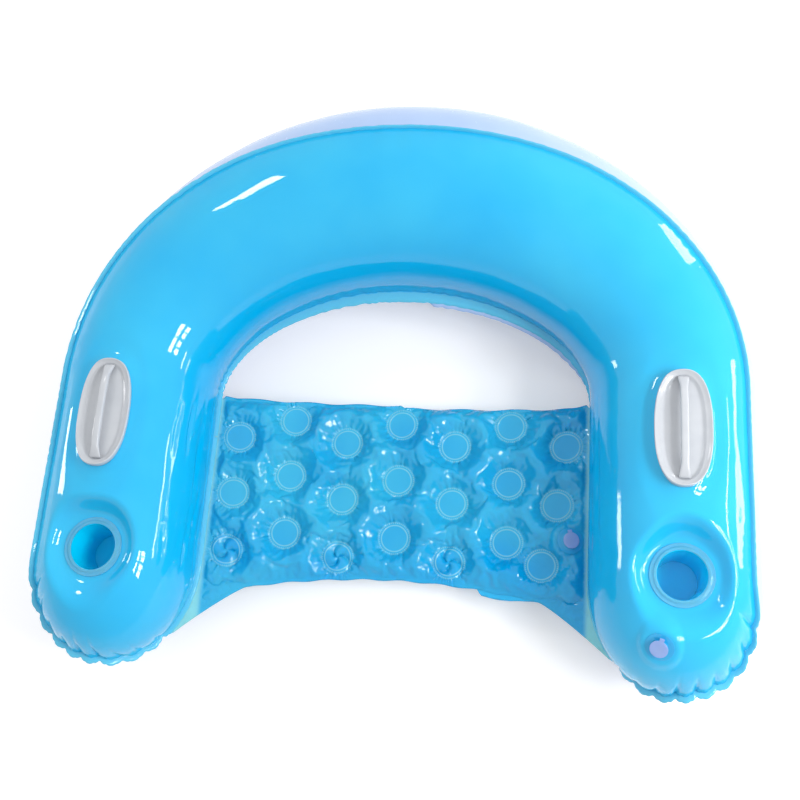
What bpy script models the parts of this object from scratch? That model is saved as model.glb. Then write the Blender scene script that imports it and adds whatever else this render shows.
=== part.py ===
"""Inflatable pool chair: a U-shaped air tube with a separate dotted seat chamber hung
between its arms, a cup holder and a grab handle on each arm, and two inflation valves.

Every film is drawn flat, as it is cut, triangulated there, and lifted to the place
that it takes when the chair is blown up. Metres, +Z up. The arms point to -Y, and the
origin is on the ground in the middle of the footprint.
"""
import math

import bpy
from mathutils import Matrix, Vector, geometry

# Films and their welds
FILM = 0.0004
WELD_GAP = 0.0003
LIP = 0.008
BACK_LIP = 0.020
LIP_MARGIN = 0.002
LIP_CLEARANCE = 0.0015

# Air tube
ARM_SPACING = 0.938
ARM_LENGTH = 0.303
ARM_RADIUS = 0.137
BACK_RADIUS = 0.167
BACK_DEPTH = 0.366
END_REACH = 0.175
OUTER_SEAM_ARM_DEG = 41
OUTER_SEAM_BACK_DEG = 72
OUTER_SEAM_END_DEG = 8
INNER_SEAM_ARM_DEG = -22
INNER_SEAM_BACK_DEG = -15
STANDING_FLAT_DEG = 15

# Crimped seam round the end of each arm
CRIMPS = 9
CRIMP_DEPTH = 0.005
CRIMP_FADE = 0.060
CRIMP_START_DEG = 20
CRIMP_END_DEG = 136

# Cup holders
CUP_BORE_RADIUS = 0.038
CUP_RING_WIDTH = 0.011
CUP_RING_THICKNESS = 0.003
CUP_WELD_WIDTH = 0.004
CUP_FOOT_RADIUS = 0.0335
CUP_DEPTH = 0.085
CUP_FOOT_FLANGE = 0.006
CUP_NOTCHES = 12
CUP_NOTCH_DEPTH = 0.002
CUP_MOUTH_HEIGHT = 0.235
CUP_FLAT_MARGIN = 0.004
CUP_DIMPLE_WIDTH = 0.035
CUP_DIMPLE_SHARES = (0, 1 / 3, 2 / 3, 1)

# Grab handles
HANDLE_LENGTH = 0.187
HANDLE_WIDTH = 0.084
HANDLE_FROM_CUP = 0.220
HANDLE_RIM_HEIGHT = 0.012
HANDLE_RIM_WIDTH = 0.009
HANDLE_RIM_SHARES = ((1 / 3, 0.8), (0.7, 1), (1, 0.93))
HANDLE_SLOPE = 0.0045
HANDLE_FLOOR = 0.0018
HANDLE_FOOT_SHARES = (0.25, 0.5, 0.75, 1)
HANDLE_DISH_SHARES = (0.66, 0.33)
HANDLE_FULLNESS = 2.4
HANDLE_BAR_WIDTH = 0.0105
HANDLE_BAR_DEPTH = 0.007
HANDLE_BAR_HEIGHT = 0.0185
HANDLE_BAR_END_HEIGHT = 0.0075
HANDLE_BAR_OVERLAP = 0.0018
HANDLE_BAR_SHARES = ((1, 0.4), (0.55, 1), (-0.55, 1), (-1, 0.4), (-0.8, -1), (0.8, -1))

# Seat chamber
SEAT_BACK_EDGE = 0.010
SEAT_FRONT_EDGE = 0.310
SEAT_FRONT_BOW = 0.026
SEAT_LOW = 0.050
SEAT_HALF_THICKNESS = 0.026
SEAT_BORDER = 0.008
SEAT_PAD_MARGIN = 0.006
WING_TIP_DEG = 136
WING_START = 0.255
WING_POWER = 1.15
HAMMOCK_POWER = 3
DOT_RADIUS = 0.0275
DOT_COLUMNS = 7
DOT_ROWS = 3
DOT_SIDE_MARGIN = 0.0315
DOT_BACK_MARGIN = 0.076
DOT_FRONT_MARGIN = 0.036
DOT_STAGGER = 0.038
PILLOW_REACH = 0.045
VALVE_SIDE_DOT_SHIFTS = (0, 0.014, 0.038)

# Valves
VALVE_FLANGE_RADIUS = 0.0225
VALVE_FLANGE_THICKNESS = 0.0008
VALVE_COLLAR_WALL = 0.0022
VALVE_COLLAR_HEIGHT = 0.005
VALVE_NECK_RADIUS = 0.010
VALVE_NECK_WALL = 0.0017
VALVE_NECK_DEPTH = 0.012
VALVE_BEAD = 0.0009
VALVE_RIM = 0.0012
VALVE_CAP_OVERHANG = 0.004
VALVE_CAP_THICKNESS = 0.0015
VALVE_PLUG_LENGTH = 0.0045
VALVE_PLUG_TAPER = 0.0012
VALVE_STRAP_LENGTH = 0.0038
VALVE_STRAP_WIDTH = 0.007
VALVE_STRAP_THICKNESS = 0.001
VALVE_FLAP_OVERLAP = 0.0009
VALVE_FLAP_THICKNESS = 0.0007
VALVE_HOLE_MARGIN = 0.003
VALVE_PATCH_MARGIN = 0.0015
MAIN_VALVE_FROM_CUP = 0.099
MAIN_VALVE_MERIDIAN_DEG = 112
MAIN_VALVE_STRAP_DEG = 180
SEAT_VALVE_OUT = 0.009
SEAT_VALVE_FORWARD = 0.011
SEAT_VALVE_RISE = 0.013
SEAT_VALVE_TILT_DEG = 15
SEAT_VALVE_STRAP_DEG = 100

# Mesh counts and spacings
BACK_STATIONS = 28
ARM_STATIONS = 4
TOP_ROWS = 13
BOTTOM_ROWS = 6
PLAIN_MERIDIANS = 6
CRIMP_STEPS = 3
CUP_SIDES = 24
VALVE_SIDES = 16
DOT_SIDES = 9
HANDLE_SIDES = 24
BAR_STEPS = 10
SHEET_STEP = 0.036
SEAT_STEP = 0.027
PROBE = 0.001

UP = Vector((0, 0, 1))
HALF_SPACING = ARM_SPACING / 2
QUARTER_BACK = math.pi / 2 * math.sqrt((HALF_SPACING ** 2 + BACK_DEPTH ** 2) / 2)
SHEET_LENGTH = 2 * (ARM_LENGTH + QUARTER_BACK)
CLOSED_LIP = (FILM + WELD_GAP) / 2
OPEN_LIP = 3 * CLOSED_LIP
CUP_Y = -ARM_LENGTH
CUP_HOLE_RADIUS = CUP_BORE_RADIUS + CUP_WELD_WIDTH
CUP_RING_RADIUS = CUP_BORE_RADIUS + CUP_RING_WIDTH
CUP_FLAT_RADIUS = CUP_RING_RADIUS + CUP_FLAT_MARGIN
VALVE_NECK_BORE = VALVE_NECK_RADIUS - VALVE_NECK_WALL
VALVE_CAP_RADIUS = VALVE_NECK_RADIUS + VALVE_CAP_OVERHANG
VALVE_STRAP_REACH = VALVE_CAP_RADIUS + VALVE_STRAP_LENGTH
VALVE_FLAP_RADIUS = VALVE_NECK_BORE + VALVE_FLAP_OVERLAP
VALVE_HOLE_RADIUS = VALVE_NECK_RADIUS + VALVE_HOLE_MARGIN
VALVE_PATCH_RADIUS = VALVE_FLANGE_RADIUS + VALVE_PATCH_MARGIN


def smooth(share):
    """An S curve from 0 to 1."""
    share = max(0, min(1, share))
    return share * share * (3 - 2 * share)


def blend(first, last, share):
    return first + (last - first) * share


def clear_scene():
    for item in list(bpy.data.objects):
        bpy.data.objects.remove(item, do_unlink=True)


def material(name, color, roughness, alpha=1):
    """A plain plastic finish."""
    made = bpy.data.materials.new(name)
    made.use_nodes = True
    shader = made.node_tree.nodes["Principled BSDF"]
    shader.inputs["Base Color"].default_value = (*color, 1)
    shader.inputs["Roughness"].default_value = roughness
    shader.inputs["Metallic"].default_value = 0
    shader.inputs["Alpha"].default_value = alpha
    return made


def add_object(name, points, faces, finish, parent, place=None):
    mesh = bpy.data.meshes.new(name)
    mesh.from_pydata(points, [], faces)
    mesh.materials.append(finish)
    mesh.shade_smooth()
    mesh.set_sharp_from_angle(angle=math.radians(35))
    made = bpy.data.objects.new(name, mesh)
    bpy.context.scene.collection.objects.link(made)
    made.parent = parent
    if place is not None:
        made.matrix_local = place
    return made


def add_empty(name, parent, place):
    made = bpy.data.objects.new(name, None)
    bpy.context.scene.collection.objects.link(made)
    made.parent = parent
    made.matrix_local = place
    return made


def thicken(thing, thickness):
    """Gives a film its thickness, half to each side."""
    solid = thing.modifiers.new("film", "SOLIDIFY")
    solid.thickness = thickness
    solid.offset = 0
    solid.use_even_offset = True
    solid.use_quality_normals = True


def unite(thing, other):
    """Joins a second piece of the same moulding to the first, and hides it."""
    union = thing.modifiers.new("one_moulding", "BOOLEAN")
    union.operation = "UNION"
    union.solver = "EXACT"
    union.object = other
    other.hide_render = True
    other.display_type = "WIRE"


# The flat pattern: points in two dimensions, each with its place in space

class Pattern:
    """A film drawn flat. Each point has a flat position and its place once inflated."""

    def __init__(self):
        self.flat = []
        self.places = []
        self.edges = []
        self.holes = []

    def add(self, flat, place):
        self.flat.append(Vector(flat))
        self.places.append(Vector(place))
        return len(self.flat) - 1

    def row(self, indices, closed=True):
        """Keeps a row of points as edges of the film."""
        last = indices[:1] if closed else []
        self.edges += list(zip(indices, indices[1:] + last))

    def clear_of(self, flat, distance):
        """Says that no point lies nearer to this flat position."""
        spot = Vector(flat)
        return all((spot - point).length > distance for point in self.flat)

    def faces(self):
        made = geometry.delaunay_2d_cdt(self.flat, self.edges, [], 1, PROBE * PROBE)
        corners, triangles, sources = made[0], made[2], made[3]
        kept = []
        for triangle in triangles:
            middle = sum((corners[i] for i in triangle), Vector((0, 0))) / 3
            if all((middle - spot).length > radius for spot, radius in self.holes):
                kept.append([sources[i][0] for i in triangle])
        return kept

    def film(self, name, finish, parent):
        made = add_object(name, self.places, self.faces(), finish, parent)
        made.data.validate()
        thicken(made, FILM)
        return made


# The inflated tube

def tube_section(along):
    """Centre, outward direction and radius of the tube, along metres behind the cup."""
    radius = ARM_RADIUS
    turn = max(0, along - ARM_LENGTH) / QUARTER_BACK * math.pi / 2
    x = HALF_SPACING * math.cos(turn)
    y = min(along - ARM_LENGTH, 0) + BACK_DEPTH * math.sin(turn)
    radius = blend(ARM_RADIUS, BACK_RADIUS, math.sin(turn) ** 2)
    outward = Vector((BACK_DEPTH * math.cos(turn), HALF_SPACING * math.sin(turn), 0))
    return Vector((x, y, centre_height(radius))), outward.normalized(), radius


def centre_height(radius):
    """The height of the tube's centre when it stands on its flat."""
    return radius * math.cos(math.radians(STANDING_FLAT_DEG / 2)) + FILM / 2


def body_seam(along, outer):
    """How far the seam lies above the tube's equator along an arm and the back."""
    turn = max(0, along - ARM_LENGTH) / QUARTER_BACK * math.pi / 2
    share = math.sin(turn) ** 2
    if outer:
        return math.radians(blend(OUTER_SEAM_ARM_DEG, OUTER_SEAM_BACK_DEG, share))
    return math.radians(blend(INNER_SEAM_ARM_DEG, INNER_SEAM_BACK_DEG, share))


def end_seam(meridian):
    """The same round the end of an arm, from the outer side at 0 to the inner at pi."""
    degrees = math.degrees(meridian)
    falling = blend(OUTER_SEAM_ARM_DEG, OUTER_SEAM_END_DEG, smooth(degrees / 60))
    share = smooth((degrees - 80) / (WING_TIP_DEG - 80))
    return math.radians(blend(falling, INNER_SEAM_ARM_DEG, share))


def crimp(meridian, from_seam):
    """How far the film is drawn in between two crimps of the end's seam."""
    start, end = math.radians(CRIMP_START_DEG), math.radians(CRIMP_END_DEG)
    share = (meridian - start) / (end - start)
    if not 0 < share < 1:
        return 0
    wave = (1 - math.cos(2 * math.pi * CRIMPS * share)) / 2
    fade = smooth(1 - max(0, from_seam) / CRIMP_FADE)
    return CRIMP_DEPTH * wave * fade


def lip_width(along, outer):
    """The inner lip widens round the back."""
    if outer:
        return LIP
    turn = max(0, along - ARM_LENGTH) / QUARTER_BACK * math.pi / 2
    return blend(LIP, BACK_LIP, math.sin(turn) ** 2)


def lip_offset(along, meridian, outer):
    """Half the distance between the two lips: they open where they hold the seat."""
    if along >= 0:
        first_step = 1.5 * 2 * QUARTER_BACK / BACK_STATIONS
        return OPEN_LIP if not outer and along < ARM_LENGTH + first_step else CLOSED_LIP
    margin = math.radians(CRIMP_END_DEG - CRIMP_START_DEG) / CRIMPS
    return OPEN_LIP if meridian > math.radians(WING_TIP_DEG) - margin else CLOSED_LIP


def tube_place(s, a, face):
    """Where a point of a flat sheet lies once the tube is inflated.

    s runs along the sheet from the left cup's axis to the right one's, a across it,
    positive to the outside. face is 1 for the top sheet and -1 for the bottom one.
    """
    side = -1 if s < SHEET_LENGTH / 2 else 1
    along = s if side < 0 else SHEET_LENGTH - s
    if along >= 0:
        centre, outward, radius = tube_section(along)
        outward = outward if a > 0 else -outward
        tilt, meridian = abs(a) / radius, 0
        edge = math.pi / 2 - face * body_seam(along, a > 0)
    else:
        meridian = math.atan2(-along, a)
        stretch = END_REACH / ARM_RADIUS
        outward = Vector((math.cos(meridian), -math.sin(meridian) * stretch, 0))
        centre, radius = tube_section(0)[0], ARM_RADIUS
        tilt = math.hypot(along, a) / radius
        edge = math.pi / 2 - face * end_seam(meridian)
    reach = radius
    if along < 0:
        reach -= crimp(meridian, (edge - tilt) * radius)
    on_lip = tilt > edge - PROBE
    if on_lip:
        reach += (tilt - edge) * radius
        tilt = edge
    ray = outward * math.sin(tilt) + UP * face * math.cos(tilt)
    place = centre + ray * reach
    if on_lip:
        to_crown = UP * face * math.sin(tilt) - outward * math.cos(tilt)
        outer = a > 0 if along >= 0 else False
        place += to_crown.normalized() * lip_offset(along, meridian, outer)
    place.x *= side
    return place


def seam_frame(along, meridian):
    """Root, direction and upward normal of the weld that holds the seat, right side."""
    if along >= 0:
        centre, outward, radius = tube_section(along)
        outward = -outward
        height = body_seam(along, False)
    else:
        stretch = END_REACH / ARM_RADIUS
        outward = Vector((math.cos(meridian), -math.sin(meridian) * stretch, 0))
        centre, radius = tube_section(0)[0], ARM_RADIUS
        height = end_seam(meridian)
    direction = outward * math.cos(height) + UP * math.sin(height)
    normal = UP * math.cos(height) - outward * math.sin(height)
    reach = radius - (crimp(meridian, 0) if along < 0 else 0)
    return centre + direction * reach, direction, normal.normalized()


def meridians():
    """The directions round an arm's end at which the sheets have points."""
    start, end = math.radians(CRIMP_START_DEG), math.radians(CRIMP_END_DEG)
    count = CRIMPS * CRIMP_STEPS
    crimped = [blend(start, end, i / count) for i in range(count + 1)]
    rest = [blend(end, math.pi, i / PLAIN_MERIDIANS) for i in range(1, PLAIN_MERIDIANS)]
    return [start / 2] + crimped + rest


def stations():
    """The places along the sheet at which it has a row of points across."""
    arm = [ARM_LENGTH * i / ARM_STATIONS for i in range(ARM_STATIONS)]
    step = 2 * QUARTER_BACK / BACK_STATIONS
    back = [ARM_LENGTH + step * i for i in range(BACK_STATIONS + 1)]
    return arm + back + [SHEET_LENGTH - along for along in reversed(arm)]


def seam_arc(s, outer, face):
    """The distance across the sheet from the crown to the seam."""
    along = min(s, SHEET_LENGTH - s)
    radius = tube_section(along)[2]
    return (math.pi / 2 - face * body_seam(along, outer)) * radius


def end_arc(angle, face):
    """The same round the end of an arm."""
    return (math.pi / 2 - face * end_seam(angle)) * ARM_RADIUS


def sheet_rim(face, lips):
    """The outline of a sheet as flat points all the way round. lips is 1 or 0."""
    def body(s, outer):
        return seam_arc(s, outer, face) + lips * lip_width(min(s, SHEET_LENGTH - s), outer)
    ends = [(angle, end_arc(angle, face) + lips * LIP) for angle in meridians()]
    rim = [(s, body(s, True)) for s in stations()]
    rim += [(SHEET_LENGTH + arc * math.sin(angle), arc * math.cos(angle)) for angle, arc in ends]
    rim += [(s, -body(s, False)) for s in reversed(stations())]
    rim += [(-arc * math.sin(angle), arc * math.cos(angle)) for angle, arc in reversed(ends)]
    return rim


def start_sheet(face):
    """A sheet's outline and the crease where its weld lip begins."""
    sheet = Pattern()
    for lips in (1, 0):
        rim = sheet_rim(face, lips)
        sheet.row([sheet.add(spot, tube_place(*spot, face)) for spot in rim])
    return sheet


def fill_sheet(sheet, face, rows, inner_limit):
    """Rows of points across the tube, and along the meridians of its ends."""
    spots = []
    for s in stations():
        for outer, sign in ((True, 1), (False, -1)):
            seam = seam_arc(s, outer, face)
            start = inner_limit(s)
            count = max(1, round(rows * (seam - start) / (math.pi / 2 * ARM_RADIUS)))
            first = 0 if start > 0 or sign > 0 else 1
            spots += [(s, sign * blend(start, seam, i / count)) for i in range(first, count)]
    start = inner_limit(0)
    for index, angle in enumerate(meridians()):
        seam = end_arc(angle, face)
        count = max(2, round((seam - start) / SHEET_STEP))
        for i in range(count):
            arc = blend(start, seam, i / count)
            if i < count - 1 and index % 2:
                continue
            spots.append((-arc * math.sin(angle), arc * math.cos(angle)))
            spots.append((SHEET_LENGTH + arc * math.sin(angle), arc * math.cos(angle)))
    for spot in spots:
        if sheet.clear_of(spot, SHEET_STEP * 0.42):
            sheet.add(spot, tube_place(*spot, face))


# The dimple and hole of a cup holder in the top sheet

def cup_patch(sheet, side, valve_spot):
    """Rings of points that sink from the arm's crown to the flat round the cup."""
    axis_s = 0 if side < 0 else SHEET_LENGTH
    slope = [CUP_FLAT_RADIUS + CUP_DIMPLE_WIDTH * share for share in CUP_DIMPLE_SHARES]
    rings = [CUP_HOLE_RADIUS] + slope
    for radius in rings:
        ring = []
        for i in range(CUP_SIDES):
            angle = 2 * math.pi * i / CUP_SIDES
            s = axis_s - side * radius * math.sin(angle)
            a = radius * math.cos(angle)
            if (Vector((s, a)) - valve_spot).length < VALVE_PATCH_RADIUS + CUP_FLAT_MARGIN:
                continue
            sunk = Vector((side * (HALF_SPACING + a), CUP_Y + radius * math.sin(angle),
                           CUP_MOUTH_HEIGHT))
            share = smooth((radius - CUP_FLAT_RADIUS) / CUP_DIMPLE_WIDTH)
            place = sunk.lerp(tube_place(s, a, 1), share)
            ring.append(sheet.add((s, a), place))
        if radius == CUP_HOLE_RADIUS:
            sheet.row(ring)
    sheet.holes.append((Vector((axis_s, 0)), CUP_HOLE_RADIUS - PROBE))


# Valve seats: a flat round patch with a hole, in whichever film carries the valve

def valve_patch(sheet, flat_centre, lift, flat_axes, strap_angle):
    """Cuts the hole, lays the patch flat and returns the frame that the valve sits in."""
    spot = Vector(flat_centre)
    middle = Vector(lift(spot))
    along = (Vector(lift(spot + Vector(flat_axes[0]) * PROBE)) - middle).normalized()
    across = Vector(lift(spot + Vector(flat_axes[1]) * PROBE)) - middle
    normal = along.cross(across).normalized()
    across = normal.cross(along)
    for radius in (VALVE_HOLE_RADIUS, VALVE_PATCH_RADIUS):
        ring = []
        for i in range(VALVE_SIDES):
            angle = 2 * math.pi * i / VALVE_SIDES
            u, v = radius * math.cos(angle), radius * math.sin(angle)
            flat = spot + Vector(flat_axes[0]) * u + Vector(flat_axes[1]) * v
            ring.append(sheet.add(flat, middle + along * u + across * v))
        if radius == VALVE_HOLE_RADIUS:
            sheet.row(ring)
    sheet.holes.append((spot, VALVE_HOLE_RADIUS - PROBE))
    strap = along * math.cos(strap_angle) + across * math.sin(strap_angle)
    seat = middle + normal * (FILM / 2 + WELD_GAP)
    frame = Matrix.Identity(4)
    for column, axis in enumerate((strap, normal.cross(strap), normal, seat)):
        frame[0][column], frame[1][column], frame[2][column] = axis
    return frame


# The seat chamber

def side_rows():
    """Frames of the weld down one side of the seat, from the back to the wing's tip."""
    rows = [seam_frame(ARM_LENGTH + SEAT_BACK_EDGE, 0)]
    rows += [seam_frame(ARM_LENGTH * i / ARM_STATIONS, 0) for i in range(ARM_STATIONS, -1, -1)]
    tip = math.radians(WING_TIP_DEG) - PROBE
    ends = sorted((angle for angle in meridians() if angle >= tip), reverse=True)
    return rows + [seam_frame(-1, angle) for angle in ends]


class Seat:
    """The shape shared by the seat's two films."""

    def __init__(self):
        self.rows = side_rows()
        reach = LIP + LIP_CLEARANCE
        self.tips = [root + direction * reach for root, direction, normal in self.rows]
        self.half_pad = self.tips[1].x - SEAT_PAD_MARGIN
        self.columns = self.half_pad - DOT_SIDE_MARGIN
        self.first_row = SEAT_BACK_EDGE - DOT_BACK_MARGIN
        self.row_pitch = (SEAT_FRONT_EDGE - DOT_FRONT_MARGIN + self.first_row) / (DOT_ROWS - 1)
        self.dots = list(self.dot_centres())
        last_gap = self.first_row - (DOT_ROWS - 3 / 2) * self.row_pitch
        self.valve = Vector((self.columns + SEAT_VALVE_OUT, last_gap - SEAT_VALVE_FORWARD))

    def dot_centres(self):
        """The rows of every second column lie further back; dots beside the valve keep off it."""
        for column in range(DOT_COLUMNS):
            x = blend(-self.columns, self.columns, column / (DOT_COLUMNS - 1))
            shift = DOT_STAGGER if column % 2 else 0
            for row in range(DOT_ROWS):
                inset = VALVE_SIDE_DOT_SHIFTS[row] if column == DOT_COLUMNS - 1 else 0
                yield Vector((x - inset, self.first_row + shift - row * self.row_pitch))

    def side(self, y):
        """Half width and height of the seat's side at the lips, at this y."""
        if y >= self.tips[0].y:
            return self.tips[0].x, self.tips[0].z
        for first, last in zip(self.tips, self.tips[1:]):
            if first.y >= y >= last.y:
                share = (first.y - y) / (first.y - last.y)
                return blend(first.x, last.x, share), blend(first.z, last.z, share)
        return self.tips[-1].x, self.tips[-1].z

    def front(self, x):
        """The front edge bows forward to the corners and sweeps on to the arms' ends."""
        bow = SEAT_FRONT_BOW * min(1, abs(x) / WING_START) ** 2
        sweep = max(0, abs(x) - WING_START) / (self.tips[-1].x - WING_START)
        edge = -SEAT_FRONT_EDGE - bow
        return blend(edge, self.tips[-1].y, sweep ** WING_POWER)

    def middle(self, x, y):
        """The hammock surface halfway between the films."""
        width, height = self.side(y)
        return blend(SEAT_LOW, height, min(1, abs(x) / width) ** HAMMOCK_POWER)

    def swell(self, x, y):
        """How far a film stands off the middle, as a share of the full thickness."""
        front = -self.front(min(abs(x), WING_START)) - SEAT_BORDER
        inside = min(self.half_pad - abs(x), SEAT_BACK_EDGE - SEAT_BORDER - y, y + front)
        share = pillow(inside)
        for dot in self.dots:
            share *= pillow((Vector((x, y)) - dot).length - DOT_RADIUS)
        return share

    def place(self, x, y, face):
        """Where a point of the top film or the bottom film lies."""
        near = (Vector((x, y)) - self.valve).length
        if face > 0 and near <= VALVE_PATCH_RADIUS + PROBE:
            fall = math.tan(math.radians(SEAT_VALVE_TILT_DEG)) * (x - self.valve.x)
            return Vector((x, y, self.middle(*self.valve) + SEAT_VALVE_RISE - fall))
        slope_x = self.middle(x + PROBE, y) - self.middle(x - PROBE, y)
        slope_y = self.middle(x, y + PROBE) - self.middle(x, y - PROBE)
        normal = Vector((-slope_x, -slope_y, 2 * PROBE)).normalized()
        rise = SEAT_HALF_THICKNESS * self.swell(x, y)
        return Vector((x, y, self.middle(x, y) + face * rise)) + normal * face * CLOSED_LIP


def pillow(distance):
    """The round shoulder beside a weld."""
    share = max(0, min(1, distance / PILLOW_REACH))
    return math.sqrt(1 - (1 - share) ** 2)


def seat_rim(seat, film, face):
    """The outline of a seat film and the crease beside the tube's lips."""
    offset = face * CLOSED_LIP
    crease = LIP + LIP_CLEARANCE
    sides = {}
    for side in (1, -1):
        for width in (LIP_MARGIN, crease):
            sides[side, width] = []
            for root, direction, normal in seat.rows:
                middle = root + direction * width
                spot = middle + normal * offset
                flat, place = (side * middle.x, middle.y), (side * spot.x, spot.y, spot.z)
                sides[side, width].append(film.add(flat, place))
        film.row(sides[side, crease], closed=False)
    tip = seat.tips[-1].x
    count = 2 * round(tip / SEAT_STEP)
    across = [blend(tip, -tip, i / count) for i in range(1, count)]
    front = [film.add((x, seat.front(x)), seat.place(x, seat.front(x), face)) for x in across]
    back_x = seat.tips[0].x
    across = [blend(-back_x, back_x, i / count) for i in range(1, count)]
    back = []
    for x in across:
        back.append(film.add((x, SEAT_BACK_EDGE), seat.place(x, SEAT_BACK_EDGE, face)))
    right, left = sides[1, LIP_MARGIN], sides[-1, LIP_MARGIN]
    right_crease, left_crease = sides[1, crease], sides[-1, crease]
    film.row(right + right_crease[-1:] + front + left_crease[-1:] + left[::-1]
             + left_crease[:1] + back + right_crease[:1])


def seat_film(name, seat, face, finish, parent):
    """One film of the seat, with its dots, its pillows and a flat for the valve."""
    film = Pattern()
    seat_rim(seat, film, face)
    frame = None
    if face > 0:
        frame = valve_patch(film, seat.valve, lambda spot: seat.place(*spot, face),
                            ((1, 0), (0, 1)), math.radians(SEAT_VALVE_STRAP_DEG))
    for dot in seat.dots:
        film.add(dot, seat.place(*dot, face))
        for radius in (DOT_RADIUS, DOT_RADIUS + PILLOW_REACH / 5):
            for i in range(DOT_SIDES):
                angle = 2 * math.pi * i / DOT_SIDES
                spot = dot + Vector((math.cos(angle), math.sin(angle))) * radius
                if radius == DOT_RADIUS or film.clear_of(spot, SEAT_STEP / 5):
                    film.add(spot, seat.place(*spot, face))
    fill_seat(seat, film, face)
    return film.film(name, finish, parent), frame


def fill_seat(seat, film, face):
    """Points over the pillows and the wings, in staggered rows."""
    reach = seat.tips[-1].x
    rows = math.ceil((SEAT_BACK_EDGE - seat.tips[-1].y) / SEAT_STEP)
    columns = 2 * math.ceil(reach / SEAT_STEP)
    for row in range(1, rows):
        y = SEAT_BACK_EDGE - row * SEAT_STEP
        for column in range(columns + 1):
            x = blend(-reach, reach, (column + row % 2 / 2) / columns)
            inside = seat.side(y)[0] - abs(x) > SEAT_BORDER and y > seat.front(x) + SEAT_BORDER
            if inside and film.clear_of((x, y), SEAT_STEP * 0.6):
                film.add((x, y), seat.place(x, y, face))


# Turned and lofted solids

def turned(profile, sides):
    """Points and faces of a closed profile turned round Z; the profile runs clockwise."""
    points, faces = [], []
    for i in range(sides):
        angle = 2 * math.pi * i / sides
        points += [(r * math.cos(angle), r * math.sin(angle), z) for r, z in profile]
    count = len(profile)
    for i in range(sides):
        here, there = i * count, (i + 1) % sides * count
        for j in range(count):
            k = (j + 1) % count
            faces.append((here + j, here + k, there + k, there + j))
    return points, faces


def loft(rings, close_ends=True):
    """Skins closed rings of equal length, the first and last filled."""
    points = [point for ring in rings for point in ring]
    count = len(rings[0])
    faces = []
    for i in range(len(rings) - 1):
        for j in range(count):
            k = (j + 1) % count
            here, there = i * count, (i + 1) * count
            faces.append((here + j, here + k, there + k, there + j))
    if close_ends:
        faces.append(tuple(reversed(range(count))))
        faces.append(tuple(range(len(points) - count, len(points))))
    return points, faces


def circle(radius, height, sides):
    angles = [2 * math.pi * i / sides for i in range(sides)]
    return [(radius * math.cos(angle), radius * math.sin(angle), height) for angle in angles]


# Cup holders

def cup_holder(side, word, body_finish, ring_finish, parent):
    """A ring on the top sheet, a tapered film wall and a floor with a notched weld."""
    place = Matrix.Translation((side * HALF_SPACING, CUP_Y, CUP_MOUTH_HEIGHT))
    foot = FILM / 2 + WELD_GAP
    top = foot + CUP_RING_THICKNESS
    round_off = CUP_RING_THICKNESS / 3
    profile = [(CUP_BORE_RADIUS, foot), (CUP_BORE_RADIUS, top - round_off),
               (CUP_BORE_RADIUS + round_off, top), (CUP_RING_RADIUS - 2 * round_off, top),
               (CUP_RING_RADIUS, foot + round_off), (CUP_RING_RADIUS, foot)]
    points, faces = turned(profile, CUP_SIDES)
    add_object(f"cup_ring_{word}", points, faces, ring_finish, parent, place)

    wall_top = CUP_BORE_RADIUS - FILM
    rings = [circle(CUP_BORE_RADIUS + CUP_WELD_WIDTH / 2, 0, CUP_SIDES),
             circle(wall_top, 0, CUP_SIDES), circle(wall_top, -CUP_RING_THICKNESS, CUP_SIDES),
             circle(CUP_FOOT_RADIUS, -CUP_DEPTH, CUP_SIDES)]
    rim = []
    for i in range(CUP_SIDES):
        angle = 2 * math.pi * i / CUP_SIDES
        notch = CUP_NOTCH_DEPTH * (1 - math.cos(angle * CUP_NOTCHES)) / 2
        radius = CUP_FOOT_RADIUS + CUP_FOOT_FLANGE - notch
        rim.append((radius * math.cos(angle), radius * math.sin(angle), -CUP_DEPTH))
    points, faces = loft(rings + [rim], close_ends=False)
    wall = add_object(f"cup_wall_{word}", points, faces, body_finish, parent, place)
    thicken(wall, FILM)

    drop = -CUP_DEPTH - FILM - WELD_GAP
    edge = [(x, y, drop) for x, y, z in rim]
    inner = [circle(CUP_FOOT_RADIUS * share, drop, CUP_SIDES) for share in (1, 1 / 2)]
    points, faces = loft([edge] + inner, close_ends=False)
    faces.append(tuple(range(len(points) - CUP_SIDES, len(points))))
    floor = add_object(f"cup_floor_{word}", points, faces, body_finish, parent, place)
    thicken(floor, FILM)


# Grab handles

def handle_place(side, across, along, height):
    """Wraps a point of the flat moulding round the arm's crown."""
    centre, outward, radius = tube_section(HANDLE_FROM_CUP + along)
    angle = side * across / radius
    ray = outward * math.sin(angle) + UP * math.cos(angle)
    place = centre + ray * (radius + FILM / 2 + WELD_GAP + height)
    place.x *= side
    return place


def oval(width, length, height, side):
    """A ring of the handle's plate, a little fuller than an ellipse."""
    ring = []
    for i in range(HANDLE_SIDES):
        angle = 2 * math.pi * i / HANDLE_SIDES
        x, y = math.cos(angle), math.sin(angle)
        full = (abs(x) ** HANDLE_FULLNESS + abs(y) ** HANDLE_FULLNESS) ** (-1 / HANDLE_FULLNESS)
        ring.append(handle_place(side, width / 2 * x * full, length / 2 * y * full, height))
    return ring


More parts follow.
